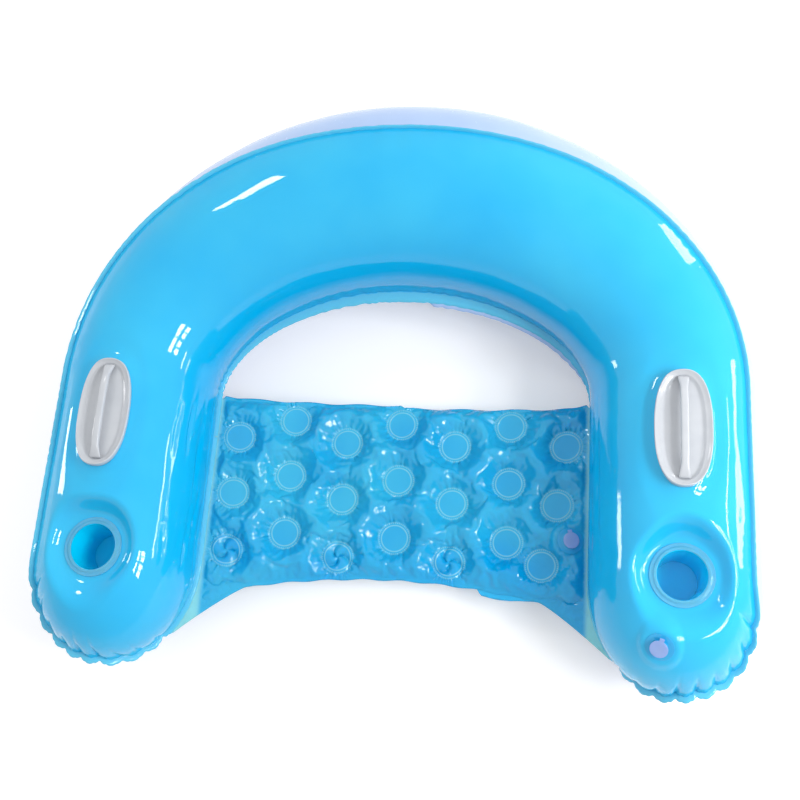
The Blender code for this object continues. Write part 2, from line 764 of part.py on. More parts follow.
def grab_handle(side, word, finish, parent):
    """An oval plate with a raised rim and a grip bar arched over its recess."""
    width, length = HANDLE_WIDTH, HANDLE_LENGTH
    rings = [oval(width * share, length * share, 0, side) for share in HANDLE_FOOT_SHARES]
    rim = [(HANDLE_RIM_WIDTH * inset, HANDLE_RIM_HEIGHT * rise) for inset, rise in HANDLE_RIM_SHARES]
    recess = HANDLE_RIM_WIDTH + HANDLE_SLOPE
    for inset, height in [(0, HANDLE_FLOOR)] + rim + [(recess, HANDLE_FLOOR)]:
        rings.append(oval(width - 2 * inset, length - 2 * inset, height, side))
    width, length = width - 2 * recess, length - 2 * recess
    for share in HANDLE_DISH_SHARES:
        rings.append(oval(width * share, length * share, HANDLE_FLOOR, side))
    points, faces = loft(rings)
    handle = add_object(f"handle_{word}", points, faces, finish, parent)

    reach = HANDLE_LENGTH / 2 - HANDLE_RIM_WIDTH + HANDLE_BAR_OVERLAP
    rings = []
    for i in range(BAR_STEPS + 1):
        share = 2 * i / BAR_STEPS - 1
        rise = (1 - share ** 4) * (HANDLE_BAR_HEIGHT - HANDLE_BAR_END_HEIGHT)
        centre = HANDLE_BAR_END_HEIGHT + rise
        ring = []
        for x, z in HANDLE_BAR_SHARES:
            ring.append(handle_place(side, x * HANDLE_BAR_WIDTH / 2, reach * share,
                                     centre + z * HANDLE_BAR_DEPTH / 2))
        rings.append(ring)
    points, faces = loft(rings)
    bar = add_object(f"handle_bar_{word}", points, faces, finish, parent)
    unite(handle, bar)


# Inflation valves

def block(low, high):
    """Points and faces of a box between two corners."""
    xs, ys, zs = zip(low, high)
    corners = ((0, 0), (1, 0), (1, 1), (0, 1))
    return loft([[(xs[i], ys[j], z) for i, j in corners] for z in zs])


def inflation_valve(name, frame, finish, parent):
    """A flange with a collar, a neck that pushes in, its check flap and its stopper."""
    seat = add_empty(f"{name}_seat", parent, frame)
    bore = VALVE_NECK_RADIUS + WELD_GAP
    collar = bore + VALVE_COLLAR_WALL
    top = VALVE_COLLAR_HEIGHT
    profile = [(bore, 0), (bore, top), (collar, top), (collar, VALVE_FLANGE_THICKNESS),
               (VALVE_FLANGE_RADIUS, VALVE_FLANGE_THICKNESS), (VALVE_FLANGE_RADIUS, 0)]
    add_object(f"{name}_flange", *turned(profile, VALVE_SIDES), finish, seat)

    rim_foot = top + WELD_GAP
    rim_top = rim_foot + VALVE_RIM
    rim_radius = collar - WELD_GAP
    foot = -VALVE_NECK_DEPTH
    bead = VALVE_NECK_RADIUS + VALVE_BEAD
    profile = [(VALVE_NECK_BORE, foot), (VALVE_NECK_BORE, rim_top), (rim_radius, rim_top),
               (rim_radius, rim_foot), (VALVE_NECK_RADIUS, rim_foot),
               (VALVE_NECK_RADIUS, foot + VALVE_RIM), (bead, foot + VALVE_RIM), (bead, foot)]
    neck = add_object(f"{name}_neck", *turned(profile, VALVE_SIDES), finish, seat)
    half = VALVE_STRAP_WIDTH / 2
    low = (VALVE_NECK_RADIUS, -half, rim_foot + VALVE_RIM / 6)
    ear = add_object(f"{name}_ear", *block(low, (VALVE_STRAP_REACH, half, rim_top - VALVE_RIM / 6)),
                     finish, seat)
    unite(neck, ear)

    pivot = Matrix.Translation((VALVE_STRAP_REACH, 0, rim_top + WELD_GAP / 2))
    hinge = add_empty(f"{name}_stopper_hinge", seat, pivot)
    base = WELD_GAP / 2
    to_axis = Matrix.Translation((-VALVE_STRAP_REACH, 0, 0))
    plug = VALVE_NECK_BORE - WELD_GAP
    rings = [circle(plug - VALVE_PLUG_TAPER, base - VALVE_PLUG_LENGTH, VALVE_SIDES),
             circle(plug, base, VALVE_SIDES),
             circle(VALVE_CAP_RADIUS, base, VALVE_SIDES),
             circle(VALVE_CAP_RADIUS, base + VALVE_CAP_THICKNESS * 0.7, VALVE_SIDES),
             circle(VALVE_CAP_RADIUS * 0.9, base + VALVE_CAP_THICKNESS, VALVE_SIDES)]
    stopper = add_object(f"{name}_stopper", *loft(rings), finish, hinge, to_axis)
    skim = VALVE_STRAP_THICKNESS / 10
    strap_low = (-(VALVE_STRAP_REACH - VALVE_CAP_RADIUS / 2), -half, base + skim)
    strap_high = (0, half, base + VALVE_STRAP_THICKNESS)
    strap = add_object(f"{name}_strap", *block(strap_low, strap_high), finish, hinge)
    unite(stopper, strap)

    flap_top = foot - WELD_GAP / 2
    pivot = Matrix.Translation((VALVE_FLAP_RADIUS, 0, flap_top))
    hinge = add_empty(f"{name}_flap_hinge", seat, pivot)
    to_axis = Matrix.Translation((-VALVE_FLAP_RADIUS, 0, -WELD_GAP / 2))
    rings = [circle(VALVE_FLAP_RADIUS, height, VALVE_SIDES) for height in (-VALVE_FLAP_THICKNESS, 0)]
    add_object(f"{name}_flap", *loft(rings), finish, hinge, to_axis)


# The whole chair

def centre_on_ground(chair):
    """Moves the chair so that the middle of its footprint is the origin."""
    bpy.context.view_layer.update()
    graph = bpy.context.evaluated_depsgraph_get()
    corners = []
    for item in bpy.context.scene.objects:
        if item.type == "MESH" and not item.hide_render:
            shape = item.evaluated_get(graph)
            corners += [shape.matrix_world @ vertex.co for vertex in shape.data.vertices]
    ys = [corner.y for corner in corners]
    chair.location.y -= (min(ys) + max(ys)) / 2


def build_chair():
    clear_scene()
    chair = add_empty("pool_chair", None, Matrix.Identity(4))
    blue = material("blue_film", (0.035, 0.45, 0.90), 0.12)
    white = material("white_film", (0.72, 0.80, 0.93), 0.25)
    seat_blue = material("seat_film", (0.03, 0.38, 0.83), 0.10)
    clear = material("clear_vinyl", (0.45, 0.66, 0.88), 0.10)
    grip = material("grip_vinyl", (0.80, 0.82, 0.88), 0.35)

    top = start_sheet(1)
    meridian = math.radians(MAIN_VALVE_MERIDIAN_DEG)
    forward = Vector((math.sin(meridian), math.cos(meridian)))
    sideways = Vector((-math.cos(meridian), math.sin(meridian)))
    spot = Vector((SHEET_LENGTH, 0)) + forward * MAIN_VALVE_FROM_CUP
    for side in (-1, 1):
        cup_patch(top, side, spot)
    main_frame = valve_patch(top, spot, lambda point: tube_place(*point, 1),
                             (forward, sideways), math.radians(MAIN_VALVE_STRAP_DEG))
    fill_sheet(top, 1, TOP_ROWS / 2, lambda s: 0)
    top.film("tube_top_sheet", blue, chair)

    flat = math.radians(STANDING_FLAT_DEG / 2)
    bottom = start_sheet(-1)
    def standing_edge(s):
        return flat * tube_section(min(s, SHEET_LENGTH - s))[2]
    fill_sheet(bottom, -1, BOTTOM_ROWS, standing_edge)
    bottom.film("tube_bottom_sheet", white, chair)

    seat = Seat()
    seat_frame = seat_film("seat_top_film", seat, 1, seat_blue, chair)[1]
    seat_film("seat_bottom_film", seat, -1, seat_blue, chair)

    for side, word in ((-1, "left"), (1, "right")):
        cup_holder(side, word, blue, clear, chair)
        grab_handle(side, word, grip, chair)
    inflation_valve("main_valve", main_frame, clear, chair)
    inflation_valve("seat_valve", seat_frame, clear, chair)
    centre_on_ground(chair)


build_chair()
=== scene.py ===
"""Looks of the inflatable pool chair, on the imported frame.

The films are drawn again at a few millimetres, with the gathers, folds, pillows and weld
marks that blown-up vinyl has. Sizes and formulas that the CAD source also has keep its
names. Metres, +Z up, the open arms towards -Y.
"""
import math

import bmesh
import bpy
import numpy as np
from mathutils import Matrix, Vector, geometry, noise
from mathutils.kdtree import KDTree


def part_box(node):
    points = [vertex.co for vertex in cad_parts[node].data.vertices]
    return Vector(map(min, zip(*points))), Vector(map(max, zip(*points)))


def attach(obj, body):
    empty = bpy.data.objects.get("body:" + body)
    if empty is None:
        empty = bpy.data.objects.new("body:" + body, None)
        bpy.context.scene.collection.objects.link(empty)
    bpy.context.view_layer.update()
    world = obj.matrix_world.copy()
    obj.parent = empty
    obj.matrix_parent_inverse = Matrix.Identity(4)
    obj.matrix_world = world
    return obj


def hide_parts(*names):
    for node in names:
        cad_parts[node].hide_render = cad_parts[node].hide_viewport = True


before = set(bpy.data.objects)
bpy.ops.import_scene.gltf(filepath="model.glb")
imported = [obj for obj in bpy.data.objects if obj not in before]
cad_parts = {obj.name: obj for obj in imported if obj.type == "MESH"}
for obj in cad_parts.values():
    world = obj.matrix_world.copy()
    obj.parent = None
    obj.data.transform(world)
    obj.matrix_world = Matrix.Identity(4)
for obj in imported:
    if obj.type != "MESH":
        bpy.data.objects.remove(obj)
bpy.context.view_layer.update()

# Sizes that the CAD source has too
FILM = 0.0004
WELD_GAP = 0.0003
LIP = 0.008
BACK_LIP = 0.020
LIP_MARGIN = 0.002
LIP_CLEARANCE = 0.0015
ARM_SPACING = 0.938
ARM_LENGTH = 0.303
ARM_RADIUS = 0.137
BACK_RADIUS = 0.167
BACK_DEPTH = 0.366
END_REACH = 0.175
OUTER_SEAM_ARM_DEG, OUTER_SEAM_BACK_DEG, OUTER_SEAM_END_DEG = 41, 72, 8
INNER_SEAM_ARM_DEG, INNER_SEAM_BACK_DEG = -22, -15
STANDING_FLAT_DEG = 15
BACK_STATIONS = 28
CRIMPS = 9
CRIMP_DEPTH = 0.005
CRIMP_START_DEG, CRIMP_END_DEG = 20, 136
CUP_BORE_RADIUS = 0.038
CUP_RING_WIDTH = 0.011
CUP_RING_THICKNESS = 0.003
CUP_WELD_WIDTH = 0.004
CUP_FOOT_RADIUS = 0.0335
CUP_DEPTH = 0.085
CUP_FOOT_FLANGE = 0.006
CUP_MOUTH_HEIGHT = 0.235
CUP_FLAT_MARGIN = 0.004
CUP_DIMPLE_WIDTH = 0.035
HANDLE_LENGTH = 0.187
HANDLE_WIDTH = 0.084
HANDLE_FROM_CUP = 0.220
HANDLE_RIM_HEIGHT = 0.012
HANDLE_RIM_WIDTH = 0.009
HANDLE_FLOOR = 0.0018
HANDLE_FULLNESS = 2.4
HANDLE_BAR_WIDTH = 0.0105
HANDLE_BAR_DEPTH = 0.007
HANDLE_BAR_HEIGHT = 0.0185
SEAT_BACK_EDGE = 0.010
SEAT_FRONT_EDGE = 0.310
SEAT_FRONT_BOW = 0.026
SEAT_LOW = 0.050
SEAT_HALF_THICKNESS = 0.026
SEAT_BORDER = 0.008
SEAT_PAD_MARGIN = 0.006
WING_TIP_DEG = 136
WING_START = 0.255
WING_POWER = 1.15
HAMMOCK_POWER = 3
DOT_RADIUS = 0.0275
DOT_COLUMNS, DOT_ROWS = 7, 3
DOT_SIDE_MARGIN = 0.0315
DOT_BACK_MARGIN = 0.076
DOT_FRONT_MARGIN = 0.036
DOT_STAGGER = 0.038
PILLOW_REACH = 0.045
VALVE_SIDE_DOT_SHIFTS = (0, 0.014, 0.038)
VALVE_HOLE_RADIUS = 0.013
VALVE_PATCH_RADIUS = 0.024
MAIN_VALVE_FROM_CUP = 0.099
MAIN_VALVE_MERIDIAN_DEG = 112
SEAT_VALVE_OUT = 0.009
SEAT_VALVE_FORWARD = 0.011
SEAT_VALVE_RISE = 0.013
SEAT_VALVE_TILT_DEG = 15

# Slack and folds of the tube's films
FILM_SLACK = 0.0026
HANDLE_PINCH = 0.0026
CRIMP_REACH = 0.060
CRIMP_FOLD = 0.0020
SEAM_PUCKER, SEAM_PUCKER_PITCH, SEAM_PUCKER_REACH = 0.0011, 0.017, 0.024
SEAM_BUCKLE, SEAM_BUCKLE_PITCH, SEAM_BUCKLE_REACH = 0.0028, 0.037, 0.070
# Depth, distance from the inner seam and width of each lengthwise fold
LENGTHWISE_FOLDS = ((0.0032, 0.012, 0.0028), (0.0038, 0.027, 0.0030), (0.0038, 0.043, 0.0032),
                    (0.0044, 0.061, 0.0038), (0.0036, 0.082, 0.0040), (0.0030, 0.106, 0.0042),
                    (0.0016, 0.136, 0.0020))
LOWER_LIP_EXTRA = 0.006

# Folds and marks of the seat's films, and the tabs of the cups' floor welds
SEAT_WRINKLE, SEAT_FINE_WRINKLE = 0.0020, 0.0012
PUCKER_DEPTH, PUCKERS_ROUND_DOT, FINE_PUCKER = 0.0042, 9.5, 0.0010
WRUNG_HEIGHT = 0.0085
BACK_EDGE_STEP = 0.0045
SLIVER_WIDTH = 0.009
DOT_RING_RADIUS = 0.0231
DOT_RING_HEIGHT = 0.0006
PETAL_LENGTH = 0.014
PETALS = 11

# The seat film is let down a little and blown up again by the cloth solver
SLACK = 0.045
AIR_PRESSURE = 7.0
SETTLE_FRAMES = 22

# Mesh steps of the fine films, and where their grids meet
SHEET_STEP = 0.0052
SEAT_STEP = 0.0040
PROBE = 0.001
END_CUT = 0.105
ROUND_REACH = 0.094
FOLD_REACH = 0.130
DOT_RINGS = (0.005, 0.009, 0.0125, 0.016, 0.019, 0.0215, 0.0225, DOT_RING_RADIUS, 0.0237, 0.0250,
             DOT_RADIUS, 0.0283, 0.0296, 0.0314, 0.0338, 0.0364, 0.0392, 0.0421, 0.0452)
DOT_RINGS_REACH = 0.0466

HALF_SPACING = ARM_SPACING / 2
QUARTER_BACK = math.pi / 2 * math.sqrt((HALF_SPACING ** 2 + BACK_DEPTH ** 2) / 2)
APEX = ARM_LENGTH + QUARTER_BACK
CLOSED_LIP = (FILM + WELD_GAP) / 2
OPEN_LIP = 3 * CLOSED_LIP
CUP_HOLE_RADIUS = CUP_BORE_RADIUS + CUP_WELD_WIDTH
CUP_RING_RADIUS = CUP_BORE_RADIUS + CUP_RING_WIDTH
CUP_FLAT_RADIUS = CUP_RING_RADIUS + CUP_FLAT_MARGIN
UP = np.array((0.0, 0.0, 1.0))

ring_low, ring_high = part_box("cup_ring_left")
SHIFT_Y = (ring_low[1] + ring_high[1]) / 2 + ARM_LENGTH


def smooth(share):
    share = np.clip(share, 0, 1)
    return share * share * (3 - 2 * share)


def bump(value, middle, width):
    return np.exp(-((value - middle) / width) ** 2)


def blend(first, last, share):
    return first + (last - first) * share


def unit(rows):
    return rows / np.linalg.norm(rows, axis=-1, keepdims=True)


def xyz(x, y, z):
    """Points from their coordinates, any of which may be one number."""
    return np.stack(np.broadcast_arrays(x, y, z), -1)


def cloud(points, per_metre, seed):
    """Smooth noise from -1 to 1 at each point."""
    shift = Vector((seed * 7.31, seed * 3.17, seed * 5.93))
    rows = np.asarray(points, float).reshape(-1, points.shape[-1])
    if rows.shape[1] == 2:
        rows = np.hstack([rows, np.zeros((len(rows), 1))])
    values = [noise.noise(Vector(row) * per_metre + shift) for row in rows.tolist()]
    return np.array(values).reshape(points.shape[:-1])


def creases(points, per_metre, seed):
    """Sharp folds: 1 on a crease, falling to 0 away from it."""
    return 1 - np.minimum(1, np.abs(cloud(points, per_metre, seed)) * 5)


# The tube

def section(along):
    """Centre, outward direction and radius of the tube, for the right side."""
    turn = np.maximum(0, along - ARM_LENGTH) / QUARTER_BACK * math.pi / 2
    radius = blend(ARM_RADIUS, BACK_RADIUS, np.sin(turn) ** 2)
    height = radius * math.cos(math.radians(STANDING_FLAT_DEG / 2)) + FILM / 2
    y = np.minimum(along - ARM_LENGTH, 0) + BACK_DEPTH * np.sin(turn)
    centre = xyz(HALF_SPACING * np.cos(turn), y, height)
    outward = xyz(BACK_DEPTH * np.cos(turn), HALF_SPACING * np.sin(turn), 0)
    return centre, unit(outward), radius


def end_outward(meridian):
    """Outward direction round an arm's end, longer where the end reaches forward."""
    stretch = END_REACH / ARM_RADIUS
    return xyz(np.cos(meridian), -np.sin(meridian) * stretch, 0)


def seam_height(along, outer, meridian):
    """How far the seam lies above the tube's equator, in radians."""
    turn = np.maximum(0, along - ARM_LENGTH) / QUARTER_BACK * math.pi / 2
    share = np.sin(turn) ** 2
    body = np.where(outer, blend(OUTER_SEAM_ARM_DEG, OUTER_SEAM_BACK_DEG, share),
                    blend(INNER_SEAM_ARM_DEG, INNER_SEAM_BACK_DEG, share))
    degrees = np.degrees(meridian)
    falling = blend(OUTER_SEAM_ARM_DEG, OUTER_SEAM_END_DEG, smooth(degrees / 60))
    rise = smooth((degrees - 80) / (WING_TIP_DEG - 80))
    end = blend(falling, INNER_SEAM_ARM_DEG, rise)
    return np.radians(np.where(along < 0, end, body))


def crimp_variety(side):
    """Depth and length of each gather round an arm's end, as shares of the usual."""
    pick = np.random.default_rng(11 if side < 0 else 23)
    return pick.uniform(0.75, 1.45, CRIMPS + 2), pick.uniform(0.8, 1.9, CRIMPS + 2)


def gathers(side, along, outer, meridian, from_seam):
    """How far the film is drawn in by the gathers beside the seams."""
    along, outer, meridian, from_seam = np.broadcast_arrays(along, outer, meridian, from_seam)
    start, end = math.radians(CRIMP_START_DEG), math.radians(CRIMP_END_DEG)
    share = np.clip((meridian - start) / (end - start), 0, 1)
    inside = (along < 0) & (share > 0) & (share < 1)
    count = share * CRIMPS
    index = np.minimum(count.astype(int), CRIMPS - 1)
    part = count - index
    deep, long = crimp_variety(side)
    wave = (1 - np.cos(2 * math.pi * part)) / 2
    fold = bump(part, 0.5, 0.11)
    fade = smooth(1 - from_seam / (0.055 * long[index]))
    drawn = CRIMP_DEPTH * (1 - (1 - wave) ** 0.6) * smooth(1 - from_seam / CRIMP_REACH) * 0.7
    drawn += CRIMP_FOLD * deep[index] * fold * fade
    for middle in (0.22, 0.8):
        drawn += CRIMP_FOLD / 2 * deep[index] * bump(part, middle, 0.07) * smooth(1 - from_seam / 0.020)
    path = np.where(along < 0, -np.minimum(meridian, math.pi - meridian) * 0.16, along)
    run = side * (APEX - path)
    bend = np.where(outer, 0.4, 1.0) * smooth((along - ARM_LENGTH + 0.05) / 0.1)
    spots = xyz(run, np.where(outer, 1.0, -1.0), 0)
    uneven = 0.5 + cloud(spots, 14, 3)
    ripple = 0.5 + 0.5 * np.sin(run * 2 * math.pi / SEAM_PUCKER_PITCH + 6 * cloud(spots, 9, 5))
    pucker = SEAM_PUCKER * np.clip(uneven, 0, 1.2) * ripple ** 2
    pucker = pucker * smooth(1 - from_seam / SEAM_PUCKER_REACH)
    ripple = 0.5 + 0.5 * np.sin(run * 2 * math.pi / SEAM_BUCKLE_PITCH + 7 * cloud(spots, 5, 6))
    buckle = SEAM_BUCKLE * bend * np.clip(0.3 + cloud(spots, 8, 8), 0, 1) * ripple ** 2
    buckle = buckle * smooth(1 - from_seam / SEAM_BUCKLE_REACH)
    return np.where(inside, drawn, pucker + buckle)


def lengthwise_folds(side, along, a, from_seam):
    """Long folds down the inner side of each arm, where the seat pulls on the seam."""
    on_arm = smooth((along + 0.06) / 0.08) * smooth((ARM_LENGTH + 0.03 - along) / 0.12)
    where = xyz(along, from_seam * 4, side * 5)
    drift = 0.014 * cloud(where, 6, 9)
    total = 0 * along
    for depth, middle, width in LENGTHWISE_FOLDS:
        strength = np.clip(0.45 + 1.5 * cloud(where, 9, int(middle * 1000)), 0, 1.3)
        total = total + depth * strength * bump(from_seam, middle + drift, width)
    return total * on_arm * (a < 0)


def handle_share(along, a):
    """1 at the edge of a handle's plate, less inside it, more outside."""
    x = a / (HANDLE_WIDTH / 2)
    y = (along - HANDLE_FROM_CUP) / (HANDLE_LENGTH / 2)
    return (np.abs(x) ** HANDLE_FULLNESS + np.abs(y) ** HANDLE_FULLNESS) ** (1 / HANDLE_FULLNESS)


def drawn_in(side, along, a, face, base, edge, tilt, radius, meridian):
    """All that moves the film in from the plain round tube."""
    from_seam = np.maximum(0, (edge - tilt) * radius)
    total = gathers(side, along, a > 0, meridian, from_seam)
    total = total + lengthwise_folds(side, along, a, from_seam) * (face > 0)
    slack = 0.5 + 0.5 * cloud(base, 7, 2) + 0.22 * cloud(base, 19, 4)
    calm = smooth(from_seam / 0.03)
    total = total + FILM_SLACK * np.clip(slack, 0, 1.3) * calm
    if face > 0:
        share = handle_share(along, a)
        total = total * smooth((share - 1.02) / 0.35)
        pinch = smooth((share - 1.0) / 0.16) * smooth((1.75 - share) / 0.5)
        total = total + HANDLE_PINCH * pinch
    return total


def tube(side, along, a, face, past=None):
    """Places on the blown-up tube. along is metres behind the cup, a metres across from
    the crown, positive outwards. past is how far a point lies out on the weld's lip."""
    side, along, a = np.broadcast_arrays(np.asarray(side, float), along, a)
    end = along < 0
    centre, outward, radius = section(np.maximum(along, 0))
    outward = outward * np.where(a > 0, 1, -1)[..., None]
    meridian = np.where(end, np.arctan2(-along, a), 0)
    outward = np.where(end[..., None], end_outward(meridian), outward)
    edge = math.pi / 2 - face * seam_height(along, a > 0, meridian)
    arc = np.where(end, np.hypot(along, a), np.abs(a))
    tilt = edge if past is not None else np.minimum(arc / radius, edge)
    ray = outward * np.sin(tilt)[..., None] + UP * face * np.cos(tilt)[..., None]
    base = centre + ray * radius[..., None]
    base = base * xyz(side, 1, 1)
    depth = np.zeros_like(radius)
    for one in (-1, 1):
        here = side == one
        if here.any():
            parts = [v[here] for v in (along, a, base, edge, tilt, radius, meridian)]
            al, ac, ba, ed, ti, ra, me = parts
            depth[here] = drawn_in(one, al, ac, face, ba, ed, ti, ra, me)
    reach = radius - depth + (0 if past is None else past)
    place = centre + ray * reach[..., None]
    to_crown = unit(UP * face * np.sin(tilt)[..., None] - outward * np.cos(tilt)[..., None])
    opening = lip_offset(along, meridian, (a > 0) & ~end)
    nearness = 1 if past is not None else smooth(1 - (edge - tilt) * radius / 0.003)
    place = place + to_crown * (opening * nearness)[..., None]
    place = place * xyz(side, 1, 1)
    place[..., 2] = np.maximum(place[..., 2], FILM / 2)
    return place


def lip_offset(along, meridian, outer):
    first_step = 1.5 * 2 * QUARTER_BACK / BACK_STATIONS
    margin = math.radians(CRIMP_END_DEG - CRIMP_START_DEG) / CRIMPS
    body = np.where(~outer & (along < ARM_LENGTH + first_step), OPEN_LIP, CLOSED_LIP)
    end = np.where(meridian > math.radians(WING_TIP_DEG) - margin, OPEN_LIP, CLOSED_LIP)
    return np.where(along < 0, end, body)


def lip_width(side, along, outer, face):
    """The inner lip widens round the back, and the lower sheet shows past it on one side."""
    turn = np.maximum(0, along - ARM_LENGTH) / QUARTER_BACK * math.pi / 2
    width = np.where(outer, LIP, blend(LIP, BACK_LIP, np.sin(turn) ** 2))
    if face < 0:
        reach = smooth((turn * side - 0.15) / 0.4) * smooth((1.43 - turn) / 0.02)
        width = width + np.where(outer, 0, LOWER_LIP_EXTRA * reach)
    return width


def main_valve_plane():
    """Flat spot, flat axes, and the plane of the patch under the main valve."""
    meridian = math.radians(MAIN_VALVE_MERIDIAN_DEG)
    forward = np.array((-math.sin(meridian), math.cos(meridian)))
    sideways = np.array((math.cos(meridian), math.sin(meridian)))
    spot = forward * MAIN_VALVE_FROM_CUP

    def plain(flat):
        along, a = flat
        angle = math.atan2(-along, a)
        tilt = math.hypot(along, a) / ARM_RADIUS
        outward = np.array((math.cos(angle), -math.sin(angle) * END_REACH / ARM_RADIUS, 0))
        ray = outward * math.sin(tilt) + UP * math.cos(tilt)
        height = ARM_RADIUS * math.cos(math.radians(STANDING_FLAT_DEG / 2)) + FILM / 2
        return np.array((HALF_SPACING, -ARM_LENGTH, height)) + ray * ARM_RADIUS

    middle = plain(spot)
    along = unit(plain(spot + forward * PROBE) - middle)
    across = plain(spot + sideways * PROBE) - middle
    normal = unit(np.cross(along, across))
    if normal[2] < 0:
        normal = -normal
    across = across - along * across.dot(along)
    return spot, forward, sideways, middle, along, unit(across)


def top_sheet_place(side, along, a):
    """The top sheet with the cup's dimple and the flat under the valve."""
    place = tube(side, along, a, 1)
    radius = np.hypot(along, a)
    sunk = xyz(side * (HALF_SPACING + a), -ARM_LENGTH + along, CUP_MOUTH_HEIGHT)
    angle = np.arctan2(a, along)
    lobes = np.sin(3 * angle + side) + 0.6 * np.sin(5 * angle + 2 * side)
    reach = CUP_DIMPLE_WIDTH * (1 + 0.10 * lobes)
    share = smooth((radius - CUP_FLAT_RADIUS) / reach)
    place = blend(sunk, place, share[..., None])
    if np.max(side) > 0:
        spot, forward, sideways, middle, u_axis, v_axis = main_valve_plane()
        offset = np.stack([along, a], -1) - spot
        u, v = offset @ forward, offset @ sideways
        flat = middle + u[..., None] * u_axis + v[..., None] * v_axis
        share = smooth((np.hypot(u, v) - VALVE_PATCH_RADIUS) / 0.016)
        place = blend(flat, place, share[..., None])
    return place


# Meshes from grids

def finished(name, mesh, finish, sharp):
    """Gives a mesh its material and soft shading, and puts it in the scene."""
    mesh.materials.append(finish)
    mesh.shade_smooth()
    mesh.set_sharp_from_angle(angle=math.radians(sharp))
    made = bpy.data.objects.new(name, mesh)
    bpy.context.scene.collection.objects.link(made)
    return made


class Skin:
    """Collects grids of points, welds them and makes one film."""

    def __init__(self):
        self.points = []
        self.faces = []
        self.lips = []
        self.shades_and_mottles = []

    def grid(self, rows, closed=False, lips=None, shades_and_mottles=None):
        """rows is an array of rows of points; closed joins each row's end to its start.
        lips has a value for each row, 0 on the air chamber and 1 at the weld's rim. The shade values,
        one for each point, are 1 where the colour is deepest: painted shade, and on the seat random
        mottle as well."""
        rows = np.asarray(rows)
        count, width = rows.shape[:2]
        start = len(self.points)
        self.points += rows.reshape(-1, 3).tolist()
        self.lips += np.repeat(np.zeros(count) if lips is None else lips, width).tolist()
        self.shades_and_mottles += (np.zeros(count * width) if shades_and_mottles is None else shades_and_mottles.ravel()).tolist()
        span = width if closed else width - 1
        for i in range(count - 1):
            for j in range(span):
                k = (j + 1) % width
                here, there = start + i * width, start + (i + 1) * width
                self.faces.append((here + j, here + k, there + k, there + j))
        return start

    def triangles(self, points, faces):
        start = len(self.points)
        self.points += np.asarray(points).tolist()
        self.lips += [0.0] * len(points)
        self.shades_and_mottles += [0.0] * len(points)
        self.faces += [tuple(start + i for i in face) for face in faces]

    def piece(self, name, finish, sharp=38, cut=None, flip=None):
        mesh = bpy.data.meshes.new(name)
        mesh.from_pydata(self.points, [], self.faces)
        shape = bmesh.new()
        shape.from_mesh(mesh)
        # Stored on the mesh for the materials: the lips, and how deep the painted shade is
        for key, values in (("lip", self.lips), ("shade_and_mottle", self.shades_and_mottles)):
            layer = shape.verts.layers.float.new(key)
            for vertex, value in zip(shape.verts, values):
                vertex[layer] = value
        bmesh.ops.remove_doubles(shape, verts=shape.verts, dist=0.00003)
        if cut is not None:
            spot, radius = Vector(cut[0]), cut[1]
            gone = [face for face in shape.faces
                    if (face.calc_center_median() - spot).length < radius]
            bmesh.ops.delete(shape, geom=gone, context="FACES")
        loose = [vertex for vertex in shape.verts if not vertex.link_faces]
        bmesh.ops.delete(shape, geom=loose, context="VERTS")
        bmesh.ops.recalc_face_normals(shape, faces=shape.faces)
        if flip is not None:
            highest = max(shape.faces, key=lambda face: face.calc_center_median().z)
            if (highest.normal.z > 0) != flip:
                bmesh.ops.reverse_faces(shape, faces=shape.faces)
        bmesh.ops.translate(shape, verts=shape.verts, vec=(0, SHIFT_Y, 0))
        shape.to_mesh(mesh)
        shape.free()
        made = finished(name, mesh, finish, sharp)
        thick = made.modifiers.new("film", "SOLIDIFY")
        thick.thickness = FILM
        thick.offset = 0
        thick.use_even_offset = False
        thick.use_quality_normals = True
        return made


def seam_arc(along, outer, face):
    radius = section(along)[2]
    return (math.pi / 2 - face * seam_height(along, outer, 0 * along)) * radius


def row_spots(along, face):
    """Distances across from the inner seam to the outer one."""
    one = np.array([along])
    low = -seam_arc(one, False, face)[0]
    high = seam_arc(one, True, face)[0]
    if face < 0:
        return np.concatenate([np.linspace(low, 0, 35), np.linspace(0, high, 67)[1:]])
    return np.concatenate([np.linspace(low, low + FOLD_REACH, 66)[:-1],
                           np.linspace(low + FOLD_REACH, 0, 34), np.linspace(0, high, 25)[1:]])


def end_outline(face):
    """Flat outline of an arm's end: seam points, then the cut across the arm."""
    count = int(END_CUT / SHEET_STEP)
    side = np.linspace(END_CUT, 0, count + 1)[:-1]
    outer = np.stack([side, seam_arc(side, True, face)], -1)
    angles = np.linspace(0, math.pi, 210 if face > 0 else 170)
    height = seam_height(np.full_like(angles, -1.0), False, angles)
    arc = (math.pi / 2 - face * height) * ARM_RADIUS
    tip = np.stack([-arc * np.sin(angles), arc * np.cos(angles)], -1)
    tip[0, 0] = tip[-1, 0] = 0
    inner = side[::-1]
    inner = np.stack([inner, -seam_arc(inner, False, face)], -1)
    cut = row_spots(END_CUT, face)[1:-1]
    cut = np.stack([np.full_like(cut, END_CUT), cut], -1)
    return np.vstack([outer, tip, inner]), cut


def painted_inner_shade(side, along, a):
    """Painted shade on the top sheet: deepest down its inner side, where more film lies behind it and
    less light reaches it, lighter again next to the arms' inner seam and round the arms' ends, and
    partly deep round the left arm's front end.
    """
    share = -a / seam_arc(np.maximum(along, 0), False, 1)
    edge = smooth((share - 0.80) / 0.12) * smooth((ARM_LENGTH + 0.05 - along) / 0.1)
    inner = smooth((share - 0.36) / 0.34) * (1 - edge)
    front = 0.55 * smooth((-along - 0.05) / 0.06) * (side < 0)
    return np.clip(np.maximum(inner * smooth((along + 0.12) / 0.16), front), 0, 1)


